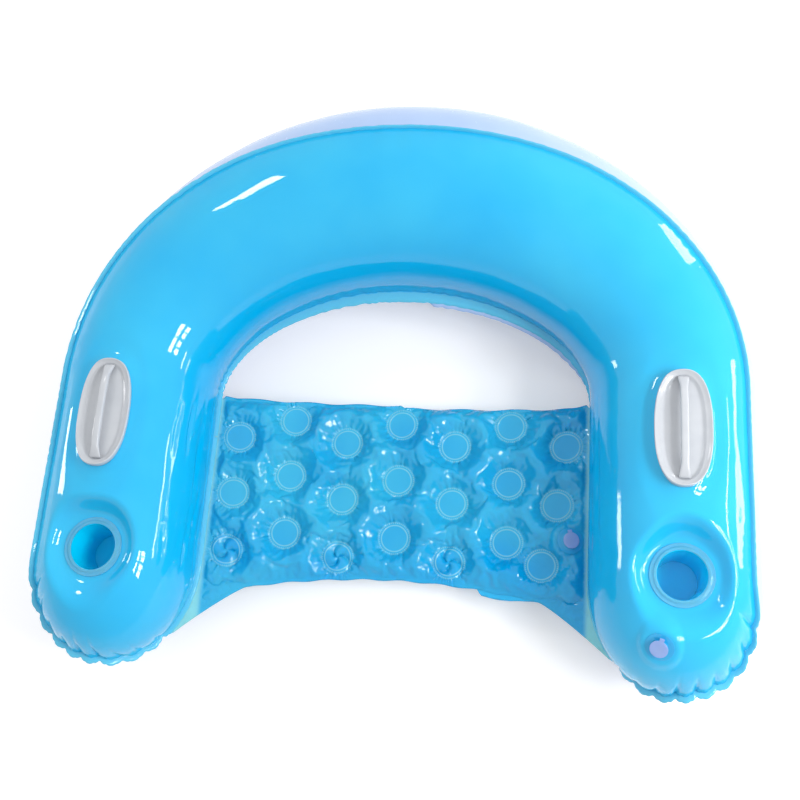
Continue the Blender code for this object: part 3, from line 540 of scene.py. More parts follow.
def sheet_skin(face):
    skin = Skin()
    lift = top_sheet_place if face > 0 else lambda side, along, a: tube(side, along, a, -1)
    body = np.linspace(END_CUT, APEX, int((APEX - END_CUT) / SHEET_STEP))
    for side in (-1, 1):
        flat = np.array([[(along, a) for a in row_spots(along, face)] for along in body])
        skin.grid(lift(side, flat[..., 0], flat[..., 1]),
                  shades_and_mottles=painted_inner_shade(side, flat[..., 0], flat[..., 1]))
        for outer, column in ((False, 0), (True, -1)):
            a = flat[:, column, 1]
            width = lip_width(side, body, outer, face)
            lips = [tube(side, body, a, face, past=width * share) for share in (0, 0.12, 0.55, 1)]
            seam = lift(side, body, a)
            skin.grid(np.stack([seam] + lips[1:]), lips=(0, 1, 1, 1))
        seam_line, cut = end_outline(face)
        outline = np.vstack([seam_line, cut])
        angle = np.arctan2(outline[:, 1], outline[:, 0])
        circle = np.stack([np.cos(angle), np.sin(angle)], -1)
        first = CUP_HOLE_RADIUS if face > 0 else 0.004
        inner = np.linspace(first, ROUND_REACH, 15)
        rings = [circle * radius for radius in inner]
        steps = np.linspace(0, 1, 49 if face > 0 else 30)[1:]
        if face > 0:
            steps = steps * (1.5 - 0.5 * steps)
        rings += [blend(circle * ROUND_REACH, outline, share) for share in steps]
        rings = np.array(rings)
        skin.grid(lift(side, rings[..., 0], rings[..., 1]), closed=True,
                  shades_and_mottles=painted_inner_shade(side, rings[..., 0], rings[..., 1]))
        if face < 0:
            middle = tube(side, np.array([0.0]), np.array([0.0]), -1)
            ring = lift(side, rings[0, :, 0], rings[0, :, 1])
            count = len(ring)
            skin.triangles(np.vstack([middle, ring]),
                           [(0, 1 + i, 1 + (i + 1) % count) for i in range(count)])
        along, a = seam_line[:, 0], seam_line[:, 1]
        width = np.where(along < 0, LIP, lip_width(side, np.maximum(along, 0), a > 0, face))
        lips = [tube(side, along, a, face, past=width * share) for share in (0.12, 0.55, 1)]
        skin.grid(np.stack([lift(side, along, a)] + lips), lips=(0, 1, 1, 1))
    return skin


# The seat chamber

def seam_frames():
    """Root, direction and normal of the weld that holds the seat's side."""
    along = np.concatenate([np.linspace(ARM_LENGTH + SEAT_BACK_EDGE, 0, 80),
                            np.full(46, -1.0)])
    meridian = np.concatenate([np.zeros(80), np.radians(np.linspace(179.2, WING_TIP_DEG, 46))])
    end = along < 0
    centre, outward, radius = section(np.maximum(along, 0))
    outward = np.where(end[:, None], end_outward(meridian), -outward)
    height = seam_height(along, False, meridian)[:, None]
    direction = outward * np.cos(height) + UP * np.sin(height)
    normal = unit(UP * np.cos(height) - outward * np.sin(height))
    drawn = gathers(1, along, False, meridian, 0 * along)
    reach = radius - drawn
    return centre + direction * reach[:, None], direction, normal


class Seat:
    """The shape shared by the seat's two films."""

    def __init__(self):
        self.frames = seam_frames()
        root, direction, normal = self.frames
        self.tips = root + direction * (LIP + LIP_CLEARANCE)
        arm_height = math.radians(INNER_SEAM_ARM_DEG)
        arm_reach = ARM_RADIUS + LIP + LIP_CLEARANCE
        self.half_pad = HALF_SPACING - math.cos(arm_height) * arm_reach - SEAT_PAD_MARGIN
        self.columns = self.half_pad - DOT_SIDE_MARGIN
        self.first_row = SEAT_BACK_EDGE - DOT_BACK_MARGIN
        self.row_pitch = (SEAT_FRONT_EDGE - DOT_FRONT_MARGIN + self.first_row) / (DOT_ROWS - 1)
        self.dots = np.array(list(self.dot_centres()))
        last_gap = self.first_row - (DOT_ROWS - 3 / 2) * self.row_pitch
        self.valve = np.array((self.columns + SEAT_VALVE_OUT, last_gap - SEAT_VALVE_FORWARD))

    def dot_centres(self):
        for column in range(DOT_COLUMNS):
            x = blend(-self.columns, self.columns, column / (DOT_COLUMNS - 1))
            shift = DOT_STAGGER if column % 2 else 0
            for row in range(DOT_ROWS):
                inset = VALVE_SIDE_DOT_SHIFTS[row] if column == DOT_COLUMNS - 1 else 0
                yield x - inset, self.first_row + shift - row * self.row_pitch

    def from_dots(self, x, y):
        """How far each point lies from the middle of the nearest dot."""
        return np.hypot(np.subtract.outer(x, self.dots[:, 0]),
                        np.subtract.outer(y, self.dots[:, 1])).min(-1)

    def side(self, y):
        """Half width and height of the seat's side at the lips, at this y."""
        order = np.argsort(self.tips[:, 1])
        ys = self.tips[order, 1]
        return np.interp(y, ys, self.tips[order, 0]), np.interp(y, ys, self.tips[order, 2])

    def front(self, x):
        bow = SEAT_FRONT_BOW * np.minimum(1, np.abs(x) / WING_START) ** 2
        sweep = np.maximum(0, np.abs(x) - WING_START) / (self.tips[-1, 0] - WING_START)
        edge = -SEAT_FRONT_EDGE - bow
        return blend(edge, self.tips[-1, 1], sweep ** WING_POWER)

    def front_rim(self, x, face):
        """The cut edge wavers, and the lower film shows past the upper one on the right."""
        ends = smooth((WING_START - np.abs(x)) / 0.03)
        line = self.front(x) + 0.0012 * np.sin(x * 95) * ends
        if face < 0:
            line = line - SLIVER_WIDTH * smooth((x - 0.150) / 0.006) * smooth((0.252 - x) / 0.05)
        return line

    def back_rim(self, x):
        """The back edge is cut straight, with one small step and slack between the welds."""
        ends = smooth((self.tips[0, 0] - np.abs(x)) / 0.03)
        line = 0.0014 * np.sin(x * 66 + 0.6) - 0.0014
        line = line - BACK_EDGE_STEP * smooth((x + 0.004) / 0.005)
        return SEAT_BACK_EDGE + line * ends

    def twist(self, x, y):
        """Every other dot of the front row is wrung, so its disc has spiral folds."""
        total = 0 * x
        for index in range(DOT_ROWS - 1, DOT_ROWS * (DOT_COLUMNS - 1), 2 * DOT_ROWS):
            dot_x, dot_y = self.dots[index]
            radius, angle = np.hypot(x - dot_x, y - dot_y), np.arctan2(y - dot_y, x - dot_x)
            spiral = np.abs(np.sin(1.5 * angle + radius / 0.011 + index)) ** 0.6 - 0.6
            inside = smooth(radius / 0.008) * smooth((DOT_RADIUS + 0.006 - radius) / 0.010)
            total = total + WRUNG_HEIGHT * spiral * inside
        return total

    def middle(self, x, y):
        width, height = self.side(y)
        return blend(SEAT_LOW, height, np.minimum(1, np.abs(x) / width) ** HAMMOCK_POWER)

    def swell(self, x, y):
        front = -self.front(np.minimum(np.abs(x), WING_START)) - SEAT_BORDER
        inside = np.minimum(self.half_pad - np.abs(x), SEAT_BACK_EDGE - SEAT_BORDER - y)
        share = pillow(np.minimum(inside, y + front))
        for dot_x, dot_y in self.dots:
            share = share * pillow(np.hypot(x - dot_x, y - dot_y) - DOT_RADIUS)
        return share

    def wrinkles(self, x, y, face):
        """Slack between the dots, which the air turns into creases."""
        spots = xyz(x, y, face)
        wide, fine = creases(spots, 16, 31 + face), creases(spots, 34, 41 + face)
        return SEAT_WRINKLE * wide + SEAT_FINE_WRINKLE * fine

    def puckers(self, x, y):
        """Radial folds that the weld's shrinkage draws round each dot."""
        total = FINE_PUCKER * creases(xyz(x, y, 0), 45, 77)
        total = total * smooth((self.swell(x, y) - 0.3) / 0.3)
        for index, (dot_x, dot_y) in enumerate(self.dots):
            radius = np.hypot(x - dot_x, y - dot_y)
            near = radius < DOT_RADIUS + 0.05
            if not near.any():
                continue
            angle = np.arctan2(y[near] - dot_y, x[near] - dot_x)
            past = np.maximum(0, radius[near] - DOT_RADIUS)
            ring = xyz(np.cos(angle), np.sin(angle), index)
            wave = np.abs(np.sin(angle * PUCKERS_ROUND_DOT + 4 * cloud(ring, 1.5, index)))
            length = 0.005 + 0.016 * np.clip(0.5 + 1.4 * cloud(ring, 2.6, index + 50), 0, 1)
            share = np.exp(-past / length) * smooth(past / 0.0015)
            total[near] = total[near] + PUCKER_DEPTH * (1 - wave) ** 1.3 * share
        return total

    def place(self, x, y, face):
        rise = SEAT_HALF_THICKNESS * self.swell(x, y)
        rise = rise + DOT_RING_HEIGHT * bump(self.from_dots(x, y), DOT_RING_RADIUS, 0.0006)
        folds = self.wrinkles(x, y, face) * np.minimum(1, rise / 0.008)
        middle = self.middle(x, y)
        slope_x = self.middle(x + PROBE, y) - self.middle(x - PROBE, y)
        slope_y = self.middle(x, y + PROBE) - self.middle(x, y - PROBE)
        normal = unit(xyz(-slope_x, -slope_y, 2 * PROBE))
        height = middle + self.twist(x, y) + face * (rise - folds)
        place = xyz(x, y, height) + normal * face * CLOSED_LIP
        if face > 0:
            near = np.hypot(x - self.valve[0], y - self.valve[1])
            fall = math.tan(math.radians(SEAT_VALVE_TILT_DEG)) * (x - self.valve[0])
            level = self.middle(*self.valve) + SEAT_VALVE_RISE - fall
            flat = xyz(x, y, level)
            share = smooth((near - VALVE_PATCH_RADIUS) / 0.012)
            edge = smooth((self.side(y)[0] - np.abs(x)) / 0.004)
            place = blend(flat, place, np.maximum(share, 1 - edge)[..., None])
        return place


def pillow(distance):
    share = np.clip(distance / PILLOW_REACH, 0, 1)
    return np.sin(share * math.pi / 2) ** 0.85


def seat_skin(seat, face):
    """Triangulated flat, with rings of points round every weld, then lifted."""
    flat, places = [], []

    def add(x, y, lifted=None):
        x, y = np.atleast_1d(x), np.atleast_1d(y)
        start = len(flat)
        flat.extend(zip(x.tolist(), y.tolist()))
        places.extend((seat.place(x, y, face) if lifted is None else lifted).tolist())
        return list(range(start, len(flat)))

    root, direction, normal = seat.frames
    crease = LIP + LIP_CLEARANCE
    sides = {}
    for side in (1, -1):
        for width in (LIP_MARGIN, (LIP_MARGIN + crease) / 2, crease):
            middle = root + direction * width
            spot = middle + normal * face * CLOSED_LIP
            mirror = np.array((side, 1, 1))
            sides[side, width] = add(side * middle[:, 0], middle[:, 1], spot * mirror)
    tip_x, back_x = seat.tips[-1, 0], seat.tips[0, 0]
    across = np.linspace(tip_x, -tip_x, int(2 * tip_x / SEAT_STEP))[1:-1]
    front = add(across, seat.front_rim(across, face))
    across = np.linspace(-back_x, back_x, int(2 * back_x / SEAT_STEP))[1:-1]
    back = add(across, seat.back_rim(across))
    right, left = sides[1, LIP_MARGIN], sides[-1, LIP_MARGIN]
    right_mid = sides[1, (LIP_MARGIN + crease) / 2]
    left_mid = sides[-1, (LIP_MARGIN + crease) / 2]
    right_crease, left_crease = sides[1, crease], sides[-1, crease]
    loop = (right + right_mid[-1:] + right_crease[-1:] + front + left_crease[-1:]
            + left_mid[-1:] + left[::-1] + left_mid[:1] + left_crease[:1] + back
            + right_crease[:1] + right_mid[:1])
    edges = list(zip(loop, loop[1:] + loop[:1]))
    for row in (right_crease, left_crease):
        edges += list(zip(row, row[1:]))
    turn = np.linspace(0, 2 * math.pi, 48, endpoint=False)
    hole = []
    if face > 0:
        for radius in (VALVE_HOLE_RADIUS, 0.018, VALVE_PATCH_RADIUS):
            xs = seat.valve[0] + radius * np.cos(turn)
            ys = seat.valve[1] + radius * np.sin(turn)
            ring = add(xs, ys)
            if radius == VALVE_HOLE_RADIUS:
                edges += list(zip(ring, ring[1:] + ring[:1]))
                hole = [(seat.valve, radius - PROBE)]
    for index, dot in enumerate(seat.dots):
        add(dot[0], dot[1])
        others = np.delete(seat.dots, index, axis=0)
        for radius in DOT_RINGS:
            fine = np.linspace(0, 2 * math.pi, 96 if radius > DOT_RADIUS else 48, endpoint=False)
            xs, ys = dot[0] + radius * np.cos(fine), dot[1] + radius * np.sin(fine)
            rival = np.hypot(xs[:, None] - others[:, 0], ys[:, None] - others[:, 1]).min(1)
            clear = rival > radius + 0.002
            if face > 0:
                clear &= np.hypot(xs - seat.valve[0], ys - seat.valve[1]) > 0.026
            clear &= (ys > seat.front(xs) + 0.002) & (ys < SEAT_BACK_EDGE - 0.002)
            clear &= seat.side(ys)[0] - np.abs(xs) > 0.003
            if clear.any():
                add(xs[clear], ys[clear])
    rows = np.arange(SEAT_BACK_EDGE - SEAT_STEP, seat.tips[:, 1].min(), -SEAT_STEP * 0.9)
    grid = []
    for index, y in enumerate(rows):
        xs = np.arange(-tip_x, tip_x, SEAT_STEP) + (index % 2) * SEAT_STEP / 2
        grid.append(np.stack([xs, np.full_like(xs, y)], -1))
    grid = np.vstack(grid)
    x, y = grid[:, 0], grid[:, 1]
    keep = (seat.side(y)[0] - np.abs(x) > 0.0030) & (y > seat.front_rim(x, face) + 0.0020)
    keep &= y < seat.back_rim(x) - 0.0020
    keep &= seat.from_dots(x, y) > DOT_RINGS_REACH
    if face > 0:
        keep &= np.hypot(x - seat.valve[0], y - seat.valve[1]) > 0.0265
    add(x[keep], y[keep])
    made = geometry.delaunay_2d_cdt([Vector(spot) for spot in flat], edges, [], 1, 1e-6)
    corners, triangles, sources = made[0], made[2], made[3]
    places = np.array(places)
    faces = []
    for triangle in triangles:
        centre = sum((corners[i] for i in triangle), Vector((0, 0))) / 3
        if any((centre - Vector(spot)).length < radius for spot, radius in hole):
            continue
        if all(len(sources[i]) for i in triangle):
            faces.append([sources[i][0] for i in triangle])
    skin = Skin()
    skin.triangles(places, faces)
    spots = np.array(flat)
    nearest = seat.from_dots(spots[:, 0], spots[:, 1])
    # Painted light: the webs beside the arms take the lighter lip colour, which lifts the shade of the
    # tube on them. The dots' two weld rings come out as lighter lines too.
    web = smooth((np.abs(spots[:, 0]) - seat.half_pad) / 0.010)
    rings = bump(nearest, DOT_RING_RADIUS, 0.0007) + bump(nearest, DOT_RADIUS, 0.0007)
    skin.lips = np.maximum(web, 0.8 * np.minimum(1, rings)).tolist()
    # Painted shade: the wrung dots' colour deepens along their spiral folds. The colour is also deeper
    # over the front of the seat, apart from its left end, and in random mottle.
    wrung = np.abs(seat.twist(spots[:, 0], spots[:, 1])) / 0.005
    front = smooth((-spots[:, 1] - 0.20) / 0.09) * smooth((spots[:, 0] + 0.25) / 0.2)
    patches = smooth(0.2 + 1.6 * cloud(spots, 11, 61))
    skin.shades_and_mottles = np.clip(np.maximum(wrung, 0.65 * front) + 0.45 * patches, 0, 1).tolist()
    return skin


def film_points(film):
    places = np.empty(len(film.data.vertices) * 3)
    film.data.vertices.foreach_get("co", places)
    return places.reshape(-1, 3)


def blow_up(film, seat):
    """How far the air moves each point of the slack film, found by the cloth solver."""
    start = film_points(film)
    x, y = start[:, 0], start[:, 1] - SHIFT_Y
    held = (seat.from_dots(x, y) <= DOT_RADIUS + 0.0003) | (np.abs(x) > seat.half_pad)
    held |= (y > SEAT_BACK_EDGE - SEAT_BORDER) | (y < seat.front(x) + SEAT_BORDER)
    held |= np.hypot(x - seat.valve[0], y - seat.valve[1]) < VALVE_PATCH_RADIUS + 0.0005
    welds = film.vertex_groups.new(name="welds")
    welds.add(np.flatnonzero(held).tolist(), 1.0, "REPLACE")
    thickness = film.modifiers[0]
    thickness.show_viewport = False
    solver = film.modifiers.new("air", "CLOTH")
    cloth = solver.settings
    cloth.vertex_group_mass = "welds"
    cloth.quality = 5
    cloth.mass = 0.02
    cloth.air_damping = 4
    cloth.tension_stiffness = cloth.compression_stiffness = 40
    cloth.shear_stiffness = 10
    cloth.bending_stiffness = 0.05
    cloth.shrink_min = -SLACK
    cloth.use_pressure = True
    cloth.uniform_pressure_force = AIR_PRESSURE
    cloth.effector_weights.gravity = 0
    solver.collision_settings.use_collision = False
    solver.point_cache.frame_start, solver.point_cache.frame_end = 1, SETTLE_FRAMES
    scene = bpy.context.scene
    for number in range(1, SETTLE_FRAMES + 1):
        scene.frame_set(number)
    blown = film.evaluated_get(bpy.context.evaluated_depsgraph_get()).to_mesh()
    place = np.empty(start.size)
    blown.vertices.foreach_get("co", place)
    film.modifiers.remove(solver)
    film.vertex_groups.clear()
    thickness.show_viewport = True
    scene.frame_set(1)
    return place.reshape(-1, 3) - start


def crease(film, seat, face, moved):
    """Moves the film by what the air did to it, and adds the puckers round the welds."""
    places = film_points(film)
    x, y = places[:, 0].copy(), places[:, 1] - SHIFT_Y
    places += moved
    places[:, 2] -= face * seat.puckers(x, y)
    film.data.vertices.foreach_set("co", places.ravel())
    film.data.update()
    film.data.set_sharp_from_angle(angle=math.radians(75))


# Turned and lofted pieces

def turned(profile, sides):
    """Rows of a closed profile of (radius, height) turned round Z."""
    turn = np.linspace(0, 2 * math.pi, sides, endpoint=False)
    rows = [[(r * math.cos(t), r * math.sin(t), z) for r, z in profile] for t in turn]
    return np.array(rows)


def rounded(profile, radius, steps=3):
    """A closed profile with its corners rounded."""
    spots = [np.array(spot, float) for spot in profile]
    made = []
    for i, spot in enumerate(spots):
        before, after = spots[i - 1], spots[(i + 1) % len(spots)]
        back, ahead = before - spot, after - spot
        cut = min(radius, np.linalg.norm(back) * 0.45, np.linalg.norm(ahead) * 0.45)
        first = spot + unit(back) * cut
        last = spot + unit(ahead) * cut
        for k in range(steps + 1):
            t = k / steps
            made.append(first * (1 - t) ** 2 + 2 * spot * t * (1 - t) + last * t * t)
    return [tuple(spot) for spot in made]


def solid(name, rows, finish, place=None, closed=True, caps=False, sharp=50):
    """A piece from rows of points: closed joins the last row to the first."""
    rows = np.asarray(rows)
    count, width = rows.shape[:2]
    points = rows.reshape(-1, 3).tolist()
    faces = []
    for i in range(count if closed else count - 1):
        for j in range(width):
            k, n = (j + 1) % width, (i + 1) % count
            faces.append((i * width + j, i * width + k, n * width + k, n * width + j))
    if caps:
        faces.append(tuple(range(width)))
        faces.append(tuple(range((count - 1) * width, count * width)))
    mesh = bpy.data.meshes.new(name)
    mesh.from_pydata(points, [], faces)
    shape = bmesh.new()
    shape.from_mesh(mesh)
    bmesh.ops.recalc_face_normals(shape, faces=shape.faces)
    if place is not None:
        bmesh.ops.transform(shape, matrix=place, verts=shape.verts)
    shape.to_mesh(mesh)
    shape.free()
    return finished(name, mesh, finish, sharp)


def circle(radius, height, sides):
    turn = np.linspace(0, 2 * math.pi, sides, endpoint=False)
    return xyz(radius * np.cos(turn), radius * np.sin(turn), height)


# Materials

class Finish:
    """A material with helpers for its nodes."""

    def __init__(self, name):
        self.material = bpy.data.materials.new(name)
        self.material.use_nodes = True
        self.tree = self.material.node_tree
        self.shader = self.tree.nodes["Principled BSDF"]
        self.space = self.tree.nodes.new("ShaderNodeTexCoord").outputs["Object"]

    def set(self, **values):
        """Sets the shader's own sockets, with _ for each space in their names."""
        for key, value in values.items():
            self.shader.inputs[key.replace("_", " ")].default_value = value

    def link(self, source, target):
        self.tree.links.new(source, target)

    def noise(self, scale, detail, rough=0.5, stretch=None):
        node = self.tree.nodes.new("ShaderNodeTexNoise")
        node.inputs["Scale"].default_value = scale
        node.inputs["Detail"].default_value = detail
        node.inputs["Roughness"].default_value = rough
        source = self.space
        if stretch is not None:
            mapping = self.tree.nodes.new("ShaderNodeMapping")
            mapping.inputs["Scale"].default_value = stretch
            self.link(self.space, mapping.inputs["Vector"])
            source = mapping.outputs["Vector"]
        self.link(source, node.inputs["Vector"])
        return node.outputs["Fac"]

    def spread(self, value, low, high, first, last):
        """Maps low..high of a value to first..last."""
        node = self.tree.nodes.new("ShaderNodeMapRange")
        for key, amount in (("From Min", low), ("From Max", high), ("To Min", first), ("To Max", last)):
            node.inputs[key].default_value = amount
        self.link(value, node.inputs["Value"])
        return node.outputs["Result"]

    def clouds(self, scale, detail, first=0, last=1):
        """Soft patches that go from first to last."""
        return self.spread(self.noise(scale, detail), 0.3, 0.7, first, last)

    def mix(self, share, first, last):
        node = self.tree.nodes.new("ShaderNodeMix")
        node.data_type = "RGBA"
        for socket, value in ((6, first), (7, last)):
            if isinstance(value, tuple):
                node.inputs[socket].default_value = (*value, 1)
            else:
                self.link(value, node.inputs[socket])
        self.link(share, node.inputs[0])
        return node.outputs[2]

    def relief(self, *layers):
        """Bumps stacked on each other: each is (height, strength, distance)."""
        last = None
        for height, strength, distance in layers:
            node = self.tree.nodes.new("ShaderNodeBump")
            node.inputs["Strength"].default_value = strength
            node.inputs["Distance"].default_value = distance
            self.link(height, node.inputs["Height"])
            if last is not None:
                self.link(last, node.inputs["Normal"])
            last = node.outputs["Normal"]
        self.link(last, self.shader.inputs["Normal"])

    def attribute(self, name):
        node = self.tree.nodes.new("ShaderNodeAttribute")
        node.attribute_name = name
        return node.outputs["Fac"]

    def color(self, value):
        self.link(value, self.shader.inputs["Base Color"])

    def roughness(self, value):
        self.link(value, self.shader.inputs["Roughness"])


def vinyl_film(name, light, deep, low, high, transmission, ior=1.5, lip=None, far=None):
    """Clear coloured film: cloudy tint, calender grain, handling scuffs. The far colour paints shade
    where the mesh's shade values are high, and the lip colour paints light on the welds' lips.
    """
    made = Finish(name)
    made.set(Transmission_Weight=transmission, IOR=ior)
    body = made.mix(made.clouds(5, 3), light, deep)
    if far is not None:
        body = made.mix(made.attribute("shade_and_mottle"), body, far)
    if lip is not None:
        body = made.mix(made.attribute("lip"), body, lip)
    made.color(body)
    scuffs = made.noise(130, 4, 0.65, stretch=(1, 0.25, 1))
    made.roughness(made.spread(scuffs, 0.45, 0.8, low, high))
    made.relief((made.noise(42, 2, 0.4), 0.22, 0.0006), (made.noise(700, 2), 0.05, 0.0001))
    return made.material


def moulding(name, light, deep, low, high, transmission, wave=0.06):
    """Soft moulded vinyl: cloudy, a little uneven, with a fine grain from the tool."""
    made = Finish(name)
    made.set(Transmission_Weight=transmission, IOR=1.48)
    made.color(made.mix(made.clouds(38, 3), light, deep))
    made.roughness(made.clouds(240, 3, low, high))
    made.relief((made.noise(90, 2), wave, 0.0006), (made.noise(500, 2), 0.03, 0.0001))
    return made.material


# Top sheet: lip is painted light, a lighter blue that lifts the shade in the welds' creases; far is the
# painted shade down the tube's inner side.
blue_film = vinyl_film("blue_film", (0.036, 0.63, 0.995), (0.012, 0.555, 0.99), 0.015, 0.09, 0.26,
                       lip=(0.13, 0.71, 0.995), far=(0.0, 0.56, 0.995))
# Cups: lighter and less clear than the tube's film, as painted light for the light that comes through
# the film into the wells; its lip colour paints the floor weld's tabs lighter.
well_film = vinyl_film("well_film", (0.001, 0.72, 0.998), (0.001, 0.66, 0.995), 0.05, 0.14, 0.04,
                       ior=1.4, lip=(0.45, 0.90, 0.995))
# Floor weld's tabs: a light opaque cyan, painted light where the tabs lie in the tube's shade.
petal_film = vinyl_film("petal_film", (0.70, 0.97, 0.995), (0.60, 0.94, 0.995), 0.08, 0.2, 0.0)
# Bottom sheet: white, coloured a dimmer lavender-blue as painted light and shade: the blue light that
# the top film lets onto it, and the shade it lies in.
white_film = vinyl_film("white_film", (0.42, 0.57, 0.85), (0.39, 0.54, 0.83), 0.18, 0.32, 0.0)
# Seat: lip is painted light on the webs beside the arms, lifting the tube's shade, and makes the dots'
# weld rings lighter lines; far is painted shade in the wrung dots, and deepens the front and random
# mottle.
seat_blue = vinyl_film("seat_film", (0.055, 0.70, 0.995), (0.025, 0.62, 0.99), 0.008, 0.04, 0.45,
                       lip=(0.40, 0.95, 0.998), far=(0.0, 0.54, 0.98))
ring_vinyl = moulding("ring_vinyl", (0.20, 0.74, 0.985), (0.15, 0.69, 0.98), 0.02, 0.06, 0.55, 0.2)
valve_vinyl = moulding("valve_vinyl", (0.38, 0.53, 0.92), (0.34, 0.49, 0.90), 0.03, 0.10, 0.30, 0.9)
flange_vinyl = moulding("flange_vinyl", (0.06, 0.60, 0.99), (0.04, 0.55, 0.985), 0.02, 0.07, 0.35, 0.3)
grip_vinyl = moulding("grip_vinyl", (0.53, 0.555, 0.59), (0.49, 0.515, 0.555), 0.12, 0.20, 0.0)

ROOT = "chair"


def stands_for(piece, slot, *names):
    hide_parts(*names)
    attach(piece, ROOT)
    return piece


# Films of the tube
plane = main_valve_plane()
valve_spot = Vector(plane[3])
valve_hole = (valve_spot, VALVE_HOLE_RADIUS + 0.001)
top = sheet_skin(1).piece("top_sheet", blue_film, cut=valve_hole, flip=True)
stands_for(top, "blue_film", "tube_top_sheet")
under = sheet_skin(-1).piece("bottom_sheet", white_film)
stands_for(under, "white_film", "tube_bottom_sheet")

# Seat: the lower film is blown up as the mirror of the upper one
seat = Seat()
seat_top = seat_skin(seat, 1).piece("seat_top", seat_blue, sharp=70, flip=True)
air = blow_up(seat_top, seat)
known = film_points(seat_top)
lookup = KDTree(len(known))
for index, spot in enumerate(known):
    lookup.insert((spot[0], spot[1], 0), index)
lookup.balance()
crease(seat_top, seat, 1, air)
stands_for(seat_top, "seat_film", "seat_top_film")
seat_bottom = seat_skin(seat, -1).piece("seat_bottom", seat_blue, sharp=70, flip=False)
nearest = [lookup.find((spot[0], spot[1], 0))[1] for spot in film_points(seat_bottom)]
crease(seat_bottom, seat, -1, air[nearest] * (1, 1, -1))
stands_for(seat_bottom, "seat_film", "seat_bottom_film")


# Cup holders
def cup_holder(side, word):
    place = Matrix.Translation((side * HALF_SPACING, -ARM_LENGTH + SHIFT_Y, CUP_MOUTH_HEIGHT))
    on_arm = place @ Matrix.Translation((0, -SHIFT_Y, 0))
    sides = 120
    foot = FILM / 2 + WELD_GAP
    high = foot + CUP_RING_THICKNESS
    inner, outer = CUP_BORE_RADIUS, CUP_RING_RADIUS
    profile = rounded([(inner, foot), (inner, high), (inner + 0.004, high + 0.0002),
                       (inner + 0.006, high - 0.0014), (outer - 0.002, high - 0.0016),
                       (outer, high - 0.0012), (outer, foot)], 0.0009)
    ring = solid(f"ring_{word}", turned(profile, sides), ring_vinyl, place)
    stands_for(ring, "clear_vinyl", f"cup_ring_{word}")

    pick = np.random.default_rng(5 if side < 0 else 9)
    turn = np.linspace(0, 2 * math.pi, sides, endpoint=False)
    dents = [(pick.uniform(0, 2 * math.pi), pick.uniform(0.0008, 0.0022), pick.uniform(0.12, 0.3))
             for _ in range(5)]
    rows = []
    wall_top = CUP_BORE_RADIUS - FILM
    for radius, height in [(CUP_BORE_RADIUS + CUP_WELD_WIDTH / 2, 0), (wall_top, 0)]:
        rows.append(circle(radius, height, sides))
    for depth in np.linspace(0.003, CUP_DEPTH, 24):
        share = max(0, (depth - CUP_RING_THICKNESS) / (CUP_DEPTH - CUP_RING_THICKNESS))
        radius = blend(wall_top, CUP_FOOT_RADIUS, share) + 0 * turn
        belly = math.sin(math.pi * share)
        for middle, size, width in dents:
            offset = (turn - middle + math.pi) % (2 * math.pi) - math.pi
            radius = radius - size * belly * bump(offset, 0.10 * math.sin(5 * share), width)
        rows.append(circle(radius, -depth, sides))
    petal = np.sqrt(np.abs(np.sin(turn * PETALS / 2)))
    petal = CUP_FOOT_FLANGE + (PETAL_LENGTH - CUP_FOOT_FLANGE) * petal
    lift = 0.004 * np.sin(turn * PETALS / 2 + 1.3) ** 2

    def tab_row(share, height):
        return circle(CUP_FOOT_RADIUS + petal * share, height + lift * share ** 2, sides)

    # The tabs take the well film's lighter lip colour: painted light.
    lips = [0] * len(rows) + [0.4, 0.8, 1]
    rows += [tab_row(share, -CUP_DEPTH) for share in (0.35, 0.7, 1)]
    skin = Skin()
    skin.grid(rows, closed=True, lips=lips)
    wall = skin.piece(f"wall_{word}", well_film)
    wall.data.transform(on_arm)
    stands_for(wall, "blue_film", f"cup_wall_{word}")

    # A light sheet just over the tabs, in the petal film: painted light that lets them show through the
    # tube.
    rows = [tab_row(share, 0.0009 - CUP_DEPTH) for share in (0.1, 0.4, 0.7, 1)]
    skin = Skin()
    skin.grid(rows, closed=True)
    petals = skin.piece(f"petals_{word}", petal_film)
    petals.data.transform(on_arm)
    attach(petals, ROOT)

    drop = -CUP_DEPTH - FILM - WELD_GAP
    rows = [tab_row(share, drop) for share in (1, 0.7, 0.35)]
    for share in np.linspace(1, 0.02, 14):
        sag = -0.0012 * (1 - share ** 2)
        rows.append(circle(CUP_FOOT_RADIUS * share, drop + sag, sides))
    skin = Skin()
    # The floor's rim of tabs takes the lighter lip colour too: painted light.
    skin.grid(rows, closed=True, lips=[1, 0.8, 0.4] + [0] * 14)
    skin.faces.append(tuple(range(len(skin.points) - sides, len(skin.points))))
    floor = skin.piece(f"floor_{word}", well_film)
    floor.data.transform(on_arm)
    stands_for(floor, "blue_film", f"cup_floor_{word}")


# Grab handles
def handle_place(side, across, along, height):
    """Wraps points of the flat moulding round the arm's crown."""
    across, along, height = np.broadcast_arrays(across, along, height)
    centre, outward, radius = section(HANDLE_FROM_CUP + along)
    angle = side * across / radius
    ray = outward * np.sin(angle)[..., None] + UP * np.cos(angle)[..., None]
    place = centre + ray * (radius + FILM / 2 + WELD_GAP + height)[..., None]
    place[..., 0] *= side
    place[..., 1] += SHIFT_Y
    return place


def oval(side, width, length, height, count=96):
    turn = np.linspace(0, 2 * math.pi, count, endpoint=False)
    x, y = np.cos(turn), np.sin(turn)
    full = (np.abs(x) ** HANDLE_FULLNESS + np.abs(y) ** HANDLE_FULLNESS) ** (-1 / HANDLE_FULLNESS)
    return handle_place(side, width / 2 * x * full, length / 2 * y * full, height + 0 * x)


